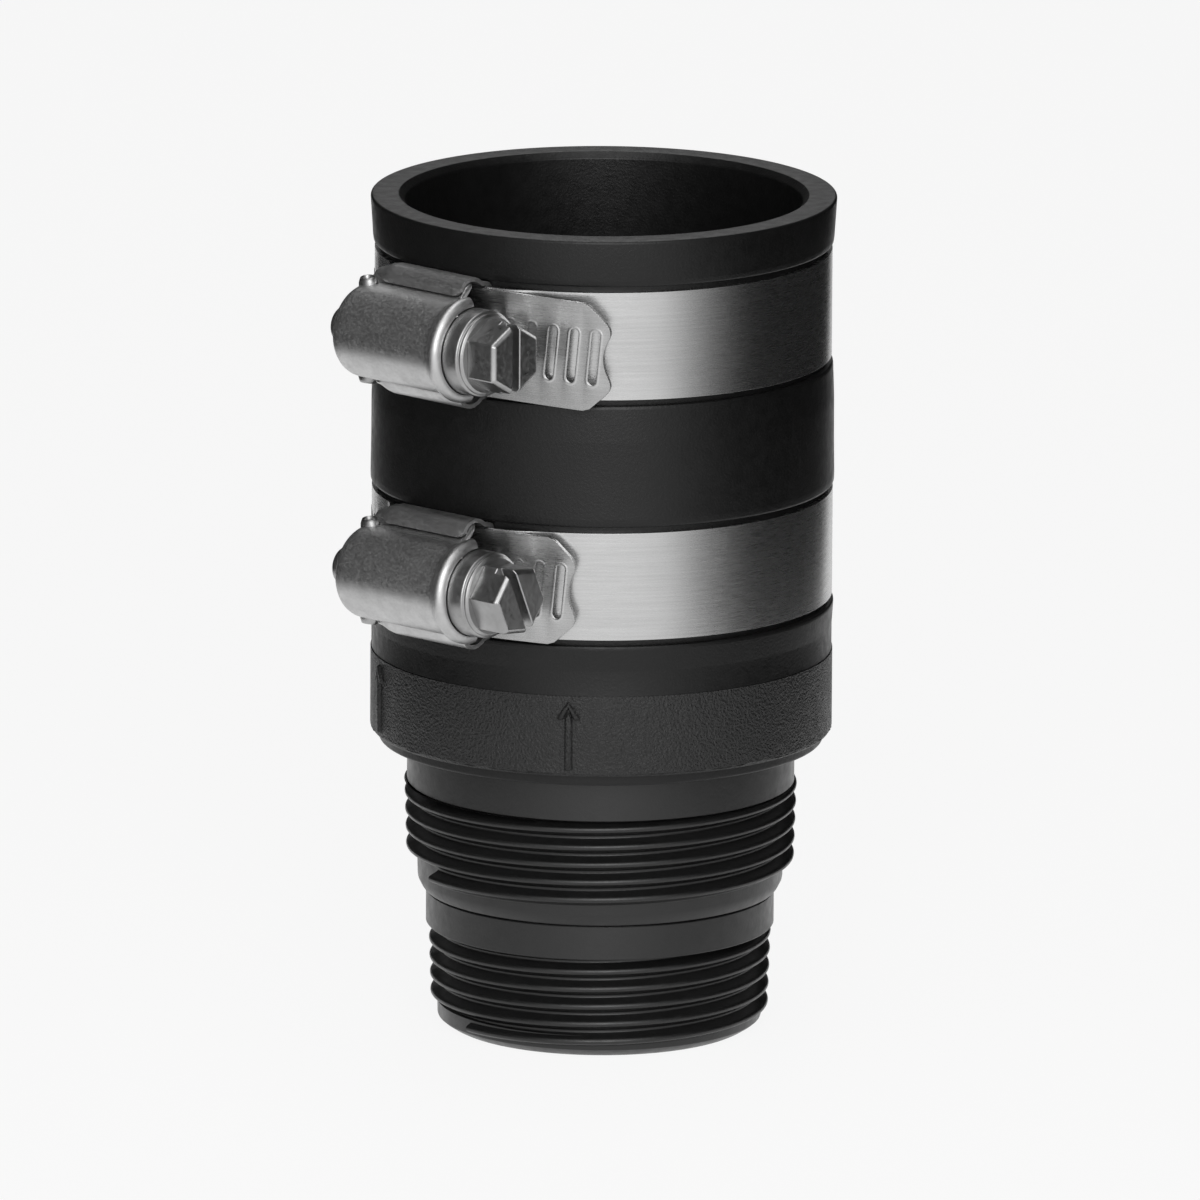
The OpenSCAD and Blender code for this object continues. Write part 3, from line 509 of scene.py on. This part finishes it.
def make_body():
    """The black plastic body with both threads."""
    small_root = core_r(SMALL_R, 0)
    large_root = core_r(LARGE_R, 0)
    outline = [
        (BORE_R, 0), (18.3, 0), (18.75, 0.22), (19.5, 0.7), (19.85, 1.0), (19.92, 1.2),
        (19.95, 2.85), (core_r(SMALL_R, 9.8) - 0.04, 2.95),
        (small_root - 0.04, Z_SMALL - 0.02), (small_root - 0.04, Z_SMALL),
        (NECK_LOW_R - 0.1, Z_SMALL), (NECK_LOW_R, Z_SMALL + 0.12),
        (NECK_LOW_R, Z_LARGE - 0.4), (NECK_LOW_R - 0.08, Z_LARGE - 0.28),
        (NECK_LOW_R - 0.35, Z_LARGE - 0.22), (NECK_LOW_R - 0.35, Z_LARGE), (21.75, Z_LARGE + 0.02),
        (21.95, Z_LARGE + 0.3), (22.36, Z_LARGE + 1.1), (22.43, Z_LARGE + 1.5),
        (large_root - 0.04, Z_LARGE_TOP - 0.02), (large_root - 0.04, Z_LARGE_TOP),
        (NECK_TOP_R - 0.15, Z_LARGE_TOP), (NECK_TOP_R, Z_LARGE_TOP + 0.15),
        (NECK_TOP_R, Z_SLEEVE), (SPIGOT_R, Z_SLEEVE), (SPIGOT_R, Z_SPIGOT - 0.4),
        (SPIGOT_R - 0.4, Z_SPIGOT), (CHAMBER_R + 0.3, Z_SPIGOT), (CHAMBER_R, Z_SPIGOT - 0.3),
        (CHAMBER_R, Z_SNAP_TOP), (CHAMBER_R + 0.8, Z_SNAP_TOP), (CHAMBER_R + 0.8, Z_SNAP_LOW),
        (CHAMBER_R, Z_SNAP_LOW), (CHAMBER_R, Z_LEDGE), (PASSAGE_R, Z_LEDGE), (PASSAGE_R, Z_LARGE),
        (BORE_R, Z_SMALL)]
    verts, faces = lathe(outline)
    for top_r, low, top, start_z, start_az in (
            (SMALL_R, 0, Z_SMALL, 0.8, 218), (LARGE_R, Z_LARGE, Z_LARGE_TOP, 2.1, 208)):
        more, sides = ridge(top_r, low, top, start_z, start_az)
        faces += [tuple(k + len(verts) for k in face) for face in sides]
        verts += more
    piece = mesh_piece("body_skin", verts, faces, plastic, "valve", 28)
    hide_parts("threaded_body")


# Rubber sleeve
def make_sleeve():
    """The rubber sleeve with its two clamp grooves and its grained band."""
    low, top, half = Z_LOW_CLAMP, Z_TOP_CLAMP, GROOVE_HALF
    corners = [
        ((SPIGOT_R + 0.05, Z_SLEEVE), 0), ((27.3, Z_SLEEVE), 0.35), ((27.3, 37.3), 0.12),
        ((28.1, 37.3), 0.15), ((SLEEVE_R, 37.75), 0.25), ((SLEEVE_R, 47.4), 0.08),
        ((28.24, 47.4), 0.03), ((28.24, 50.5), 2), ((28.42, 53.2), 0.3),
        ((28.4, low - half), 0.35), ((LOW_SEAT_R, low - half), 0), ((LOW_SEAT_R, low + half), 0),
        ((28.4, low + half), 0.35), ((28.42, low + 8.4), 0.6), ((SLEEVE_R, 74), 3),
        ((28.33, 79), 3), ((28.18, top - 7.8), 0.4), ((28.1, top - half), 0.2),
        ((TOP_SEAT_R, top - half), 0), ((TOP_SEAT_R, top + half), 0), ((28.12, top + half), 0.3),
        ((28.22, top + 8.1), 0.5), ((28.54, 104), 0.35),
        ((SOCKET_R + 0.8, 104), 0.25), ((SOCKET_R, 103.3), 0.4), ((SOCKET_R, 70.65), 0.5),
        ((CHAMBER_R, 70.65), 0.4), ((CHAMBER_R, 67.05), 0), ((SPIGOT_R + 0.05, 67.05), 0)]
    outline = rounded(corners, 5)
    verts, faces = lathe(outline)
    piece = mesh_piece("sleeve_skin", verts, faces, rubber, "valve", 30)
    piece.data.materials.append(grained)
    for face in piece.data.polygons:
        z = face.center.z / MM
        if 37.5 < z < 47.38 and math.hypot(*face.center.xy) / MM > 28:
            face.material_index = 1
    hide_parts("rubber_sleeve")


def make_flash():
    """The uneven parting flash under the grained band, a thin cord with six sides."""
    rows = []
    count = 720
    for i in range(count):
        a = math.tau * i / count
        wave = noise.noise(Vector((math.cos(a) * 6, math.sin(a) * 6, 0.3)))
        fine = noise.noise(Vector((math.cos(a) * 31, math.sin(a) * 31, 4.1)))
        size = 0.1 + 0.05 * fine
        r0, z0 = 28.2 + 0.06 * fine, 37.62 + 0.16 * wave
        rows.append([((r0 + size * math.cos(b)) * math.cos(a),
                      (r0 + size * math.cos(b)) * math.sin(a), z0 + size * math.sin(b))
                     for b in (math.tau * k / 6 for k in range(6))])
    flash = mesh_piece("flash_line", flatten(rows), grid(rows, True, True), rubber, "valve", 60)


def outline_prism(outline, low, high, inset, az):
    """Rows of points of a raised form with a sloping edge, bent round the sleeve at azimuth az."""
    n = len(outline)
    rows = []
    for out, move in ((low, -0.13), (high - 0.07, inset * 0.6), (high, inset)):
        row = []
        for k in range(n):
            here = Vector(outline[k])
            back = (here - Vector(outline[k - 1])).normalized()
            ahead = (Vector(outline[(k + 1) % n]) - here).normalized()
            normal = Vector((-back.y - ahead.y, back.x + ahead.x))
            p = here + normal.normalized() * (move / max(0.35, normal.length / 2))
            a = math.radians(az) + p.x / SLEEVE_R
            row.append((out * math.cos(a), out * math.sin(a), p.y))
        rows.append(row)
    return rows


def make_arrows():
    """The raised flow arrows on the grained band: a shaft and a chevron with a fine gap between."""
    base, tip = ARROW_LOW, ARROW_TIP
    head = [(0, tip), (-0.14, tip - 0.08), (-1.33, tip - 1.8), (-1.38, tip - 2.0),
            (-1.27, tip - 2.13), (-0.74, tip - 2.13), (-0.62, tip - 2.02), (0, tip - 0.75),
            (0.62, tip - 2.02), (0.74, tip - 2.13), (1.27, tip - 2.13), (1.38, tip - 2.0),
            (1.33, tip - 1.8), (0.14, tip - 0.08)]
    shaft = [(-0.3, base), (0.3, base), (0.43, base + 0.13), (0.43, tip - 2.15), (0.2, tip - 1.3),
             (-0.2, tip - 1.3), (-0.43, tip - 2.15), (-0.43, base + 0.13)]
    verts, faces = [], []
    for az in ARROW_AZ:
        for outline in (head, shaft):
            rows = outline_prism(outline, SLEEVE_R - 0.1, SLEEVE_R + 0.37, 0.16, az)
            start = len(verts)
            faces += grid(rows, close_rows=True, start=start)
            n = len(outline)
            verts += flatten(rows)
            faces += [tuple(start + k for k in reversed(range(n))),
                      tuple(start + 2 * n + k for k in range(n))]
    piece = mesh_piece("flow_arrows", verts, faces, grained, "valve", 50)


def carve(piece, cutter):
    """Cuts a mesh with another one, which is then thrown away."""
    change = piece.modifiers.new("cut", "BOOLEAN")
    change.object = cutter
    change.operation = "DIFFERENCE"
    change.solver = "EXACT"
    change.use_self = True
    bpy.context.view_layer.update()
    made = bpy.data.meshes.new_from_object(
        piece.evaluated_get(bpy.context.evaluated_depsgraph_get()))
    piece.modifiers.clear()
    piece.data = made
    bpy.data.objects.remove(cutter)


def soften(piece, width_mm, angle):
    """Rounds a piece's sharp edges with a small bevel."""
    bevel = piece.modifiers.new("edges", "BEVEL")
    bevel.width = width_mm * MM
    bevel.segments = 3
    bevel.limit_method = "ANGLE"
    bevel.angle_limit = math.radians(angle)
    bevel.use_clamp_overlap = True
    bevel.harden_normals = True


# Clamps. One clamp is drawn with X out through its housing, Y along its screw and Z up.
def clamp_place(z):
    """Where the clamp at height z stands."""
    az = TOP_AZ if z == Z_TOP_CLAMP else LOW_AZ
    return Matrix.Translation((0, 0, z)) @ Matrix.Rotation(math.radians(az), 4, "Z")


def smooth(t):
    """An eased step from 0 to 1, held outside them."""
    t = min(1.0, max(0.0, t))
    return t * t * (3 - 2 * t)


def along(value, table):
    """Value read from a table of (place, value), joined by straight lines."""
    for (x0, y0), (x1, y1) in zip(table, table[1:]):
        if value <= x1:
            return y0 + (y1 - y0) * max(0.0, value - x0) / (x1 - x0)
    return table[-1][1]


def sheet_section(path, thick):
    """Closed outline of a bent sheet: its outer line, then its inner line backwards."""
    outer, inner = [], []
    for k, (p, t) in enumerate(zip(path, thick)):
        before, after = Vector(path[max(k - 1, 0)]), Vector(path[min(k + 1, len(path) - 1)])
        run = (after - before).normalized()
        side = Vector((-run.y, run.x)) * t / 2
        p = Vector(p)
        outer.append(p + side)
        inner.append(p - side)
    return outer, inner


def sheet_solid(stations):
    """Points and faces of a sheet swept along the screw, from (place, outer line, inner line)."""
    n = len(stations[0][1])
    rows = []
    for u, outer, inner in stations:
        rows.append([(p.x, u, p.y) for p in outer] + [(p.x, u, p.y) for p in reversed(inner)])
    faces = grid(rows, close_rows=True)
    last = (len(rows) - 1) * 2 * n
    for start, flip in ((0, False), (last, True)):
        for k in range(n - 1):
            quad = (start + k, start + k + 1, start + 2 * n - 2 - k, start + 2 * n - 1 - k)
            faces.append(tuple(reversed(quad)) if flip else quad)
    return flatten(rows), faces


# Outer and inner radius of the housing at places along the screw, towards its rolled mouth
MOUTH_OUT = ((6.8, 5.8), (7.3, 5.83), (7.7, 5.96), (8.05, 6.18), (8.35, 6.38), (8.65, 6.49),
             (8.9, 6.5), (9.15, 6.42), (9.35, 6.28), (9.52, 6.08), (9.63, 5.87), (9.7, 5.6))
MOUTH_IN = ((7.8, 4.95), (8.6, 5.36), (9.55, 5.36), (9.7, 5.44))
# Rounding of the housing's back end
BACK_R = 1.45


def housing_section(foot, axis, u):
    """The housing's sheet across the screw at u, from curled flange over the dome to flange."""
    far = u + BACK
    inset = BACK_R - math.sqrt(max(0.0, BACK_R ** 2 - max(0.0, BACK_R - far) ** 2))
    out_r = along(u, MOUTH_OUT) - 0.75 * inset
    in_r = along(u, MOUTH_IN) - 0.75 * inset
    mid, sheet = (out_r + in_r) / 2, out_r - in_r
    fade = smooth((u - 6.3) / 1.3)
    end = Vector((axis - 0.15, mid))
    curl = [(foot + 0.3, 7.14), (foot + 0.75, 7.16), (foot + 1.2, 6.98), (foot + 1.55, 6.6),
            (foot + 1.75, 6.12), (foot + 1.95, 5.72), (foot + 2.25, mid + 0.1)]
    path, thick = [], []
    for k, p in enumerate(curl):
        p = Vector((p[0], p[1] - inset * 0.4))
        step = Vector((0.02 * (k - len(curl)), 0))
        path.append(p.lerp(end + step, fade))
        thick.append(0.5 + (sheet - 0.5) * max(fade, max(0, k - 3) / 4))
    for w, low in ((foot + 2.75, 0.1), ((foot + 2.75 + axis) / 2, 0.05)):
        path.append(Vector((w, mid)).lerp(Vector((axis - low, mid)), fade))
        thick.append(sheet)
    dome = 48
    for k in range(dome // 2 + 1):
        t = math.pi * k / dome
        path.append(Vector((axis + mid * math.sin(t), mid * math.cos(t))))
        thick.append(sheet)
    path += [Vector((p.x, -p.y)) for p in reversed(path[:-1])]
    thick += list(reversed(thick[:-1]))
    return sheet_section(path, thick)


def make_housing(name, node, z, seat_r):
    """One clamp's housing: curled flanges, barrel with a thick rolled mouth, and an end plate."""
    foot = seat_r + FOOT_OUT
    axis = seat_r + AXIS_OUT
    stations = [-BACK + x for x in (0, 0.04, 0.15, 0.35, 0.65, 1.05, 1.5, 2.0)]
    stations += [-5.7 + k * 1.2 for k in range(10)]
    stations += [u for u, _ in MOUTH_OUT] + [6.2, 6.4, 6.6, 7.0, 7.15, 7.5]
    verts, faces = sheet_solid([(u, *housing_section(foot, axis, u)) for u in sorted(stations)])
    rim, hole_r = 3.95, 2.57
    ring = [(foot + 2.4, rim), (foot + 3, rim)]
    ring += [(axis + rim * math.sin(t), rim * math.cos(t)) for t in
             (math.pi * k / 32 for k in range(33))]
    ring += [(foot + 3, -rim), (foot + 2.4, -rim)]
    plate = []
    for u, hole in ((0, False), (0, True), (BARREL_T, True), (BARREL_T, False)):
        line = []
        for w, h in ring:
            a = math.atan2(h, w - axis)
            line.append((axis + hole_r * math.cos(a), u - BACK, hole_r * math.sin(a)) if hole
                        else (w, u - BACK, h))
        plate.append(line)
    faces += grid(plate, close_rows=True, close_ring=True, start=len(verts))
    verts += flatten(plate)
    piece = mesh_piece(name, verts, faces, housing_steel, "valve", 42, clamp_place(z))
    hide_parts(node)
    make_ears(name.replace("housing_skin", "ears"), z, axis)


def make_ears(name, z, axis):
    """The two staked dimples with a raised rim at the back of the housing, in darker steel as
    painted shade.
    """
    profile = [(0, -0.85), (0.6, -0.8), (0.78, -0.05), (0.86, 0.42), (1.0, 0.56), (1.14, 0.5),
               (1.28, 0.24), (1.42, -0.1), (1.5, -0.9), (0, -1.0)]
    verts, faces = [], []
    for side in (1, -1):
        spin = Matrix.Translation((axis + 0.1, -7.7, side * 6.05))
        spin = spin @ Matrix.Rotation(math.radians(side * 8), 4, "Y")
        spin = spin @ Matrix.Rotation(math.pi / 2 * (1 - side), 4, "X")
        rows = []
        for i in range(32):
            a = math.tau * i / 32
            rows.append([spin @ Vector((0.8 * r * math.cos(a), 0.88 * r * math.sin(a), h))
                         for r, h in profile])
        faces += grid(rows, False, True, start=len(verts))
        verts += flatten(rows)
    # The ears take the darker screw steel instead of the housing's: painted shade in the dimples
    # that damps the reflection on their rims
    piece = mesh_piece(name, verts, faces, screw_steel_and_ear_shade, "valve", 40, clamp_place(z))


def make_saddle(name, node, z, seat_r):
    """One clamp's saddle: a curved plate under the band whose sides arch over the flanges."""
    base, first, last = seat_r + 0.3, -SADDLE_BACK, SADDLE_FRONT
    foot = seat_r + FOOT_OUT
    stations = []
    count = 26
    for i in range(count + 1):
        u = first + (last - first) * i / count
        plate = math.sqrt(base ** 2 - u ** 2)
        short = max(0.9 * (1 - smooth((u - first) / 2.4)), 0.4 * (1 - smooth((last - u) / 0.9)))
        drop = 0.7 * (1 - smooth((u - first) / 2.4))
        half = [(plate, 0.001), (plate, 2.2), (plate, 4.4), (plate, 6.2), (plate + 0.05, 6.6),
                (plate + 0.25, 6.9), (plate + 0.6, 7.02), (foot - 1.4, 7.1), (foot - 1.05, 7.35),
                (foot - 0.65, 7.6), (foot - 0.1, 7.82), (foot + 0.5, 7.88), (foot + 1.1, 7.78),
                (foot + 1.7, 7.48)]
        ends = [Vector(p) for p in ((foot + 2.2, 6.98), (foot + 2.5, 6.4), (foot + 2.62, 6.02))]
        half += [tuple(p.lerp(Vector(half[-1]), short * (0.75 + 0.12 * k)))
                 for k, p in enumerate(ends)]
        half = [(w, h - drop * smooth((w - foot + 1.2) / 1.0)) for w, h in half]
        path = [Vector((w, -h)) for w, h in reversed(half[1:])] + [Vector(p) for p in half]
        stations.append((u, *sheet_section([tuple(p) for p in path], [0.5] * len(path))))
    verts, faces = sheet_solid(stations)
    piece = mesh_piece(name, verts, faces, housing_steel, "valve", 50, clamp_place(z))
    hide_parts(node)
    soften(piece, 0.12, 40)


def hexagon(apothem, low, high, turn):
    """Points and faces of a hexagon along the screw, with its far edge cut back."""
    bevel = 0.42
    rows = []
    for u, flat in ((low, apothem), (high - bevel, apothem), (high, apothem - bevel)):
        r = flat / math.cos(math.pi / 6)
        rows.append([(r * math.cos(turn + math.pi / 3 * k), u, r * math.sin(turn + math.pi / 3 * k))
                     for k in range(6)])
    return flatten(rows), [tuple(range(5, -1, -1)), tuple(range(12, 18))] + grid(rows, True)


def make_screw(name, node, body, z, seat_r, turn_deg):
    """One clamp screw: tip, worm, collar with its bead, and a slotted hexagon head."""
    axis = seat_r + AXIS_OUT
    place = clamp_place(z) @ Matrix.Translation((axis, 0, 0))
    head = FRONT + 3.05
    end = head + HEX_H
    low, top = -BACK + 1.25, FRONT - 0.6
    tip, collar = -BACK - TIP_OUT, FRONT - 0.1
    corners = [((0, tip), 0), ((TIP_R, tip), 0.8), ((TIP_R, low), 0), ((3.15, low + 0.05), 0),
               ((3.15, top), 0), ((3.0, top + 0.05), 0), ((3.0, collar), 0),
               ((COLLAR_R, collar), 0.2), ((COLLAR_R, head - 0.7), 0.3),
               ((4.95, head - 0.55), 0.12), ((5.05, head - 0.25), 0.16), ((4.7, head), 0.12),
               ((0, head), 0)]
    outline = rounded(corners, 4)
    rows = []
    for i in range(96):
        a = math.tau * i / 96
        rows.append([(r * math.cos(a), u, r * math.sin(a)) for r, u in outline])
    verts, faces = flatten(rows), grid(rows, False, True)
    steps = 40
    count = int((top - low - 1.7) / SLOT_PITCH * steps)
    rows = []
    section = [(2.9, 1.0), (3.15, 0.98), (3.78, 0.66), (3.9, 0.5), (3.9, -0.5), (3.78, -0.66),
               (3.15, -0.98), (2.9, -1.0)]
    for i in range(count + 1):
        a = math.tau * i / steps
        mid = low + 0.85 + SLOT_PITCH * i / steps
        rows.append([(r * math.cos(a), min(mid + h, top - 0.05), r * math.sin(a))
                     for r, h in section])
    base = len(verts)
    verts += flatten(rows)
    faces += grid(rows, close_rows=True, start=base)
    faces += [tuple(base + k for k in range(8)),
              tuple(base + count * 8 + k for k in reversed(range(8)))]
    shank = mesh_piece(name + "_shank", verts, faces, screw_steel_and_ear_shade, body, 34, place)
    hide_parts(node)
    turn = math.radians(turn_deg)
    verts, faces = hexagon(HEX_HALF, head - 0.1, end, math.pi / 2 - turn)
    head_piece = plain_object(name + "_head", verts, faces, place)
    w, long, deep = 0.58, 6, 2.2
    box = [(x, y, h) for y in (end - deep, end + 1) for x, h in
           ((-w, -long), (w, -long), (w, long), (-w, long))]
    spin = place @ Matrix.Rotation(turn, 4, "Y")
    carve(head_piece, plain_object("slot", box, [(0, 1, 2, 3), (4, 5, 6, 7), (0, 1, 5, 4),
                                                 (1, 2, 6, 5), (2, 3, 7, 6), (3, 0, 4, 7)], spin))
    head_piece.data.materials.clear()
    head_piece.data.materials.append(screw_steel_and_ear_shade)
    shade_smooth(head_piece)
    soften(head_piece, 0.2, 22)
    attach(head_piece, body)


def band_mid(a, seat_r):
    """Radius of a clamp band's middle line at an angle from its housing, as in the CAD source."""
    base = seat_r + BAND_OUT
    lift, tail, ease = 0.6, 1.25, 8
    step_in = math.degrees(math.asin((SADDLE_FRONT + 2.75) / base))
    step_out = math.degrees(math.asin((SADDLE_BACK + 0.6) / base))
    b = a - 360
    run = base * max(0.0, b - step_in) * math.pi / 180
    if a < 180:
        return base + lift * (1 - smooth((a - step_in) / ease))
    bend = run * run / 2 * (1 / base - 1 / TAIL_BEND_R)
    return base + tail * smooth((b + step_out + ease) / ease) + bend


def tail_end(t):
    """How far the tail's end lies behind its tip, across the band: cropped corners and a hollow."""
    crop_from, crop, hollow = 3.5, 3.4, 1.4

    def sharp(x):
        x = abs(x)
        if x > crop_from:
            return crop * (x - crop_from) / (BAND_HALF - crop_from)
        return hollow * (1 - (x / crop_from) ** 2)
    spread = min(1.15, BAND_HALF - abs(t))
    weights = [math.cos(math.pi / 2 * k / 5) for k in range(-4, 5)]
    return sum(w * sharp(t + spread * k / 4) for w, k in zip(weights, range(-4, 5))) / sum(weights)


def make_band(name, node, z, seat_r, tail_angle, sag):
    """One clamp band: a thin strip round the sleeve with a slotted, cropped free tail."""
    pitch, half, lean = SLOT_PITCH, BAND_HALF, SLOT_LEAN
    wide, long = SLOT_HALF_W, SLOT_HALF_L
    tip = 360 + tail_angle
    first = -math.degrees(math.asin((SADDLE_BACK - 0.4) / (seat_r + BAND_OUT)))
    angles = numpy.linspace(first, tip, 1600)
    radii = numpy.array([band_mid(a, seat_r) for a in angles])
    x, y = radii * numpy.cos(numpy.radians(angles)), radii * numpy.sin(numpy.radians(angles))
    places = numpy.concatenate(([0], numpy.cumsum(numpy.hypot(numpy.diff(x), numpy.diff(y)))))
    places -= places[-1]
    sides = (long, 1.9, 0.95, 0, -0.95, -1.9, -long)
    across = (half, 4.4) + sides + (-4.4, -half)
    verts, faces = [], []

    def spot(s, t, lift=0.0):
        """The point at s along the band from its tip and t across it."""
        a = float(numpy.interp(s, places, angles))
        r = band_mid(a, seat_r) + lift
        t -= sag * smooth((s + 22) / 24)
        return (r * math.cos(math.radians(a)), r * math.sin(math.radians(a)), t)

    def slot_ring(centre, grow, lift, ups, caps):
        """Points round a slot: left side upwards, top, right side downwards, bottom."""
        points = [(-wide - grow, t) for t in reversed(sides)]
        points += [((wide + grow) * math.cos(a), long + (wide + grow) * math.sin(a)) for a in caps]
        points += [(wide + grow, t) for t in ups]
        points += [(-x, -y) for x, y in points[len(sides):len(sides) + len(caps)]]
        out = []
        for x, y in points:
            out.append(spot(centre + x * math.cos(lean) + y * math.sin(lean),
                            y * math.cos(lean) - x * math.sin(lean), lift))
        return out

    def cell(centre, outer, ups, caps):
        """A piece of the band between its outer points and a slot with a pressed rim."""
        rings = [outer] + [slot_ring(centre, grow, lift, ups, caps)
                           for grow, lift in ((0.28, 0), (0.15, 0.012), (0.06, 0.05), (0, 0.03))]
        n = len(outer)
        start = len(verts)
        verts.extend(flatten(rings))
        for r in range(len(rings) - 1):
            for k in range(n):
                a, b = start + r * n, start + (r + 1) * n
                m = (k + 1) % n
                faces.append((a + k, a + m, b + m, b + k))

    start_s = float(places[0])
    cells = [-FIRST_SLOT - i * pitch for i in range(SLOT_COUNT)]
    plain_end = cells[-1] - pitch / 2
    steps = int((plain_end - start_s) / 0.85)
    columns = [start_s + (plain_end - start_s) * i / steps for i in range(steps + 1)]
    rows = [[spot(s, t) for t in across] for s in columns]
    faces += grid(rows)
    verts += flatten(rows)
    caps = [math.pi * (1 - k / 8) for k in range(1, 8)]
    for s in cells[1:]:
        p = pitch / 2
        top = [(s - p, 4.4), (s - p, half), (s - p / 2, half), (s, half), (s + p / 2, half),
               (s + p, half), (s + p, 4.4)]
        outer = [(s - p, t) for t in reversed(sides)] + top + [(s + p, t) for t in sides]
        outer += [(2 * s - x, -y) for x, y in top]
        cell(s, [spot(*q) for q in outer], sides, caps)
    s, p = cells[0], pitch / 2
    shape = [half - (half - 3.05) * k / 12 for k in range(1, 13)]
    top = [(s - p, 4.4), (s - p, half)] + [(-tail_end(t), t) for t in shape]
    ups = [long - 2 * long * k / 18 for k in range(19)]
    outer = [(s - p, t) for t in reversed(sides)] + top + [(-tail_end(t), t) for t in ups]
    outer += [(-tail_end(t), t) for t in (-x for x in reversed(shape))]
    outer += [(s - p, -half), (s - p, -4.4)]
    caps = [math.pi * (1 - k / 15) for k in range(1, 15)]
    cell(s, [spot(*q) for q in outer], ups, caps)
    piece = mesh_piece(name, verts, faces, band_steel, "valve", 50, clamp_place(z))
    solid = piece.modifiers.new("sheet", "SOLIDIFY")
    solid.thickness = BAND_T * MM
    solid.offset = 0
    solid.use_even_offset = True
    soften(piece, 0.2, 45)
    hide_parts(node)


make_camera()
dress_nodes()
make_stage()
make_body()
make_sleeve()
make_flash()
make_arrows()
# Each clamp: its height, its seat, how far its screw is turned, where its tail ends and its sag
for level, z, seat_r, turn, tail, sag in (("upper", Z_TOP_CLAMP, TOP_SEAT_R, 0, 46, 0.85),
                                          ("lower", Z_LOW_CLAMP, LOW_SEAT_R, 24, 36.8, 0.3)):
    make_housing(level + "_housing_skin", level + "_clamp_housing", z, seat_r)
    make_saddle(level + "_saddle_skin", level + "_clamp_saddle", z, seat_r)
    make_band(level + "_band_skin", level + "_clamp_band", z, seat_r, tail, sag)
    make_screw(level + "_screw", level + "_clamp_screw", level + "_screw", z, seat_r, turn)
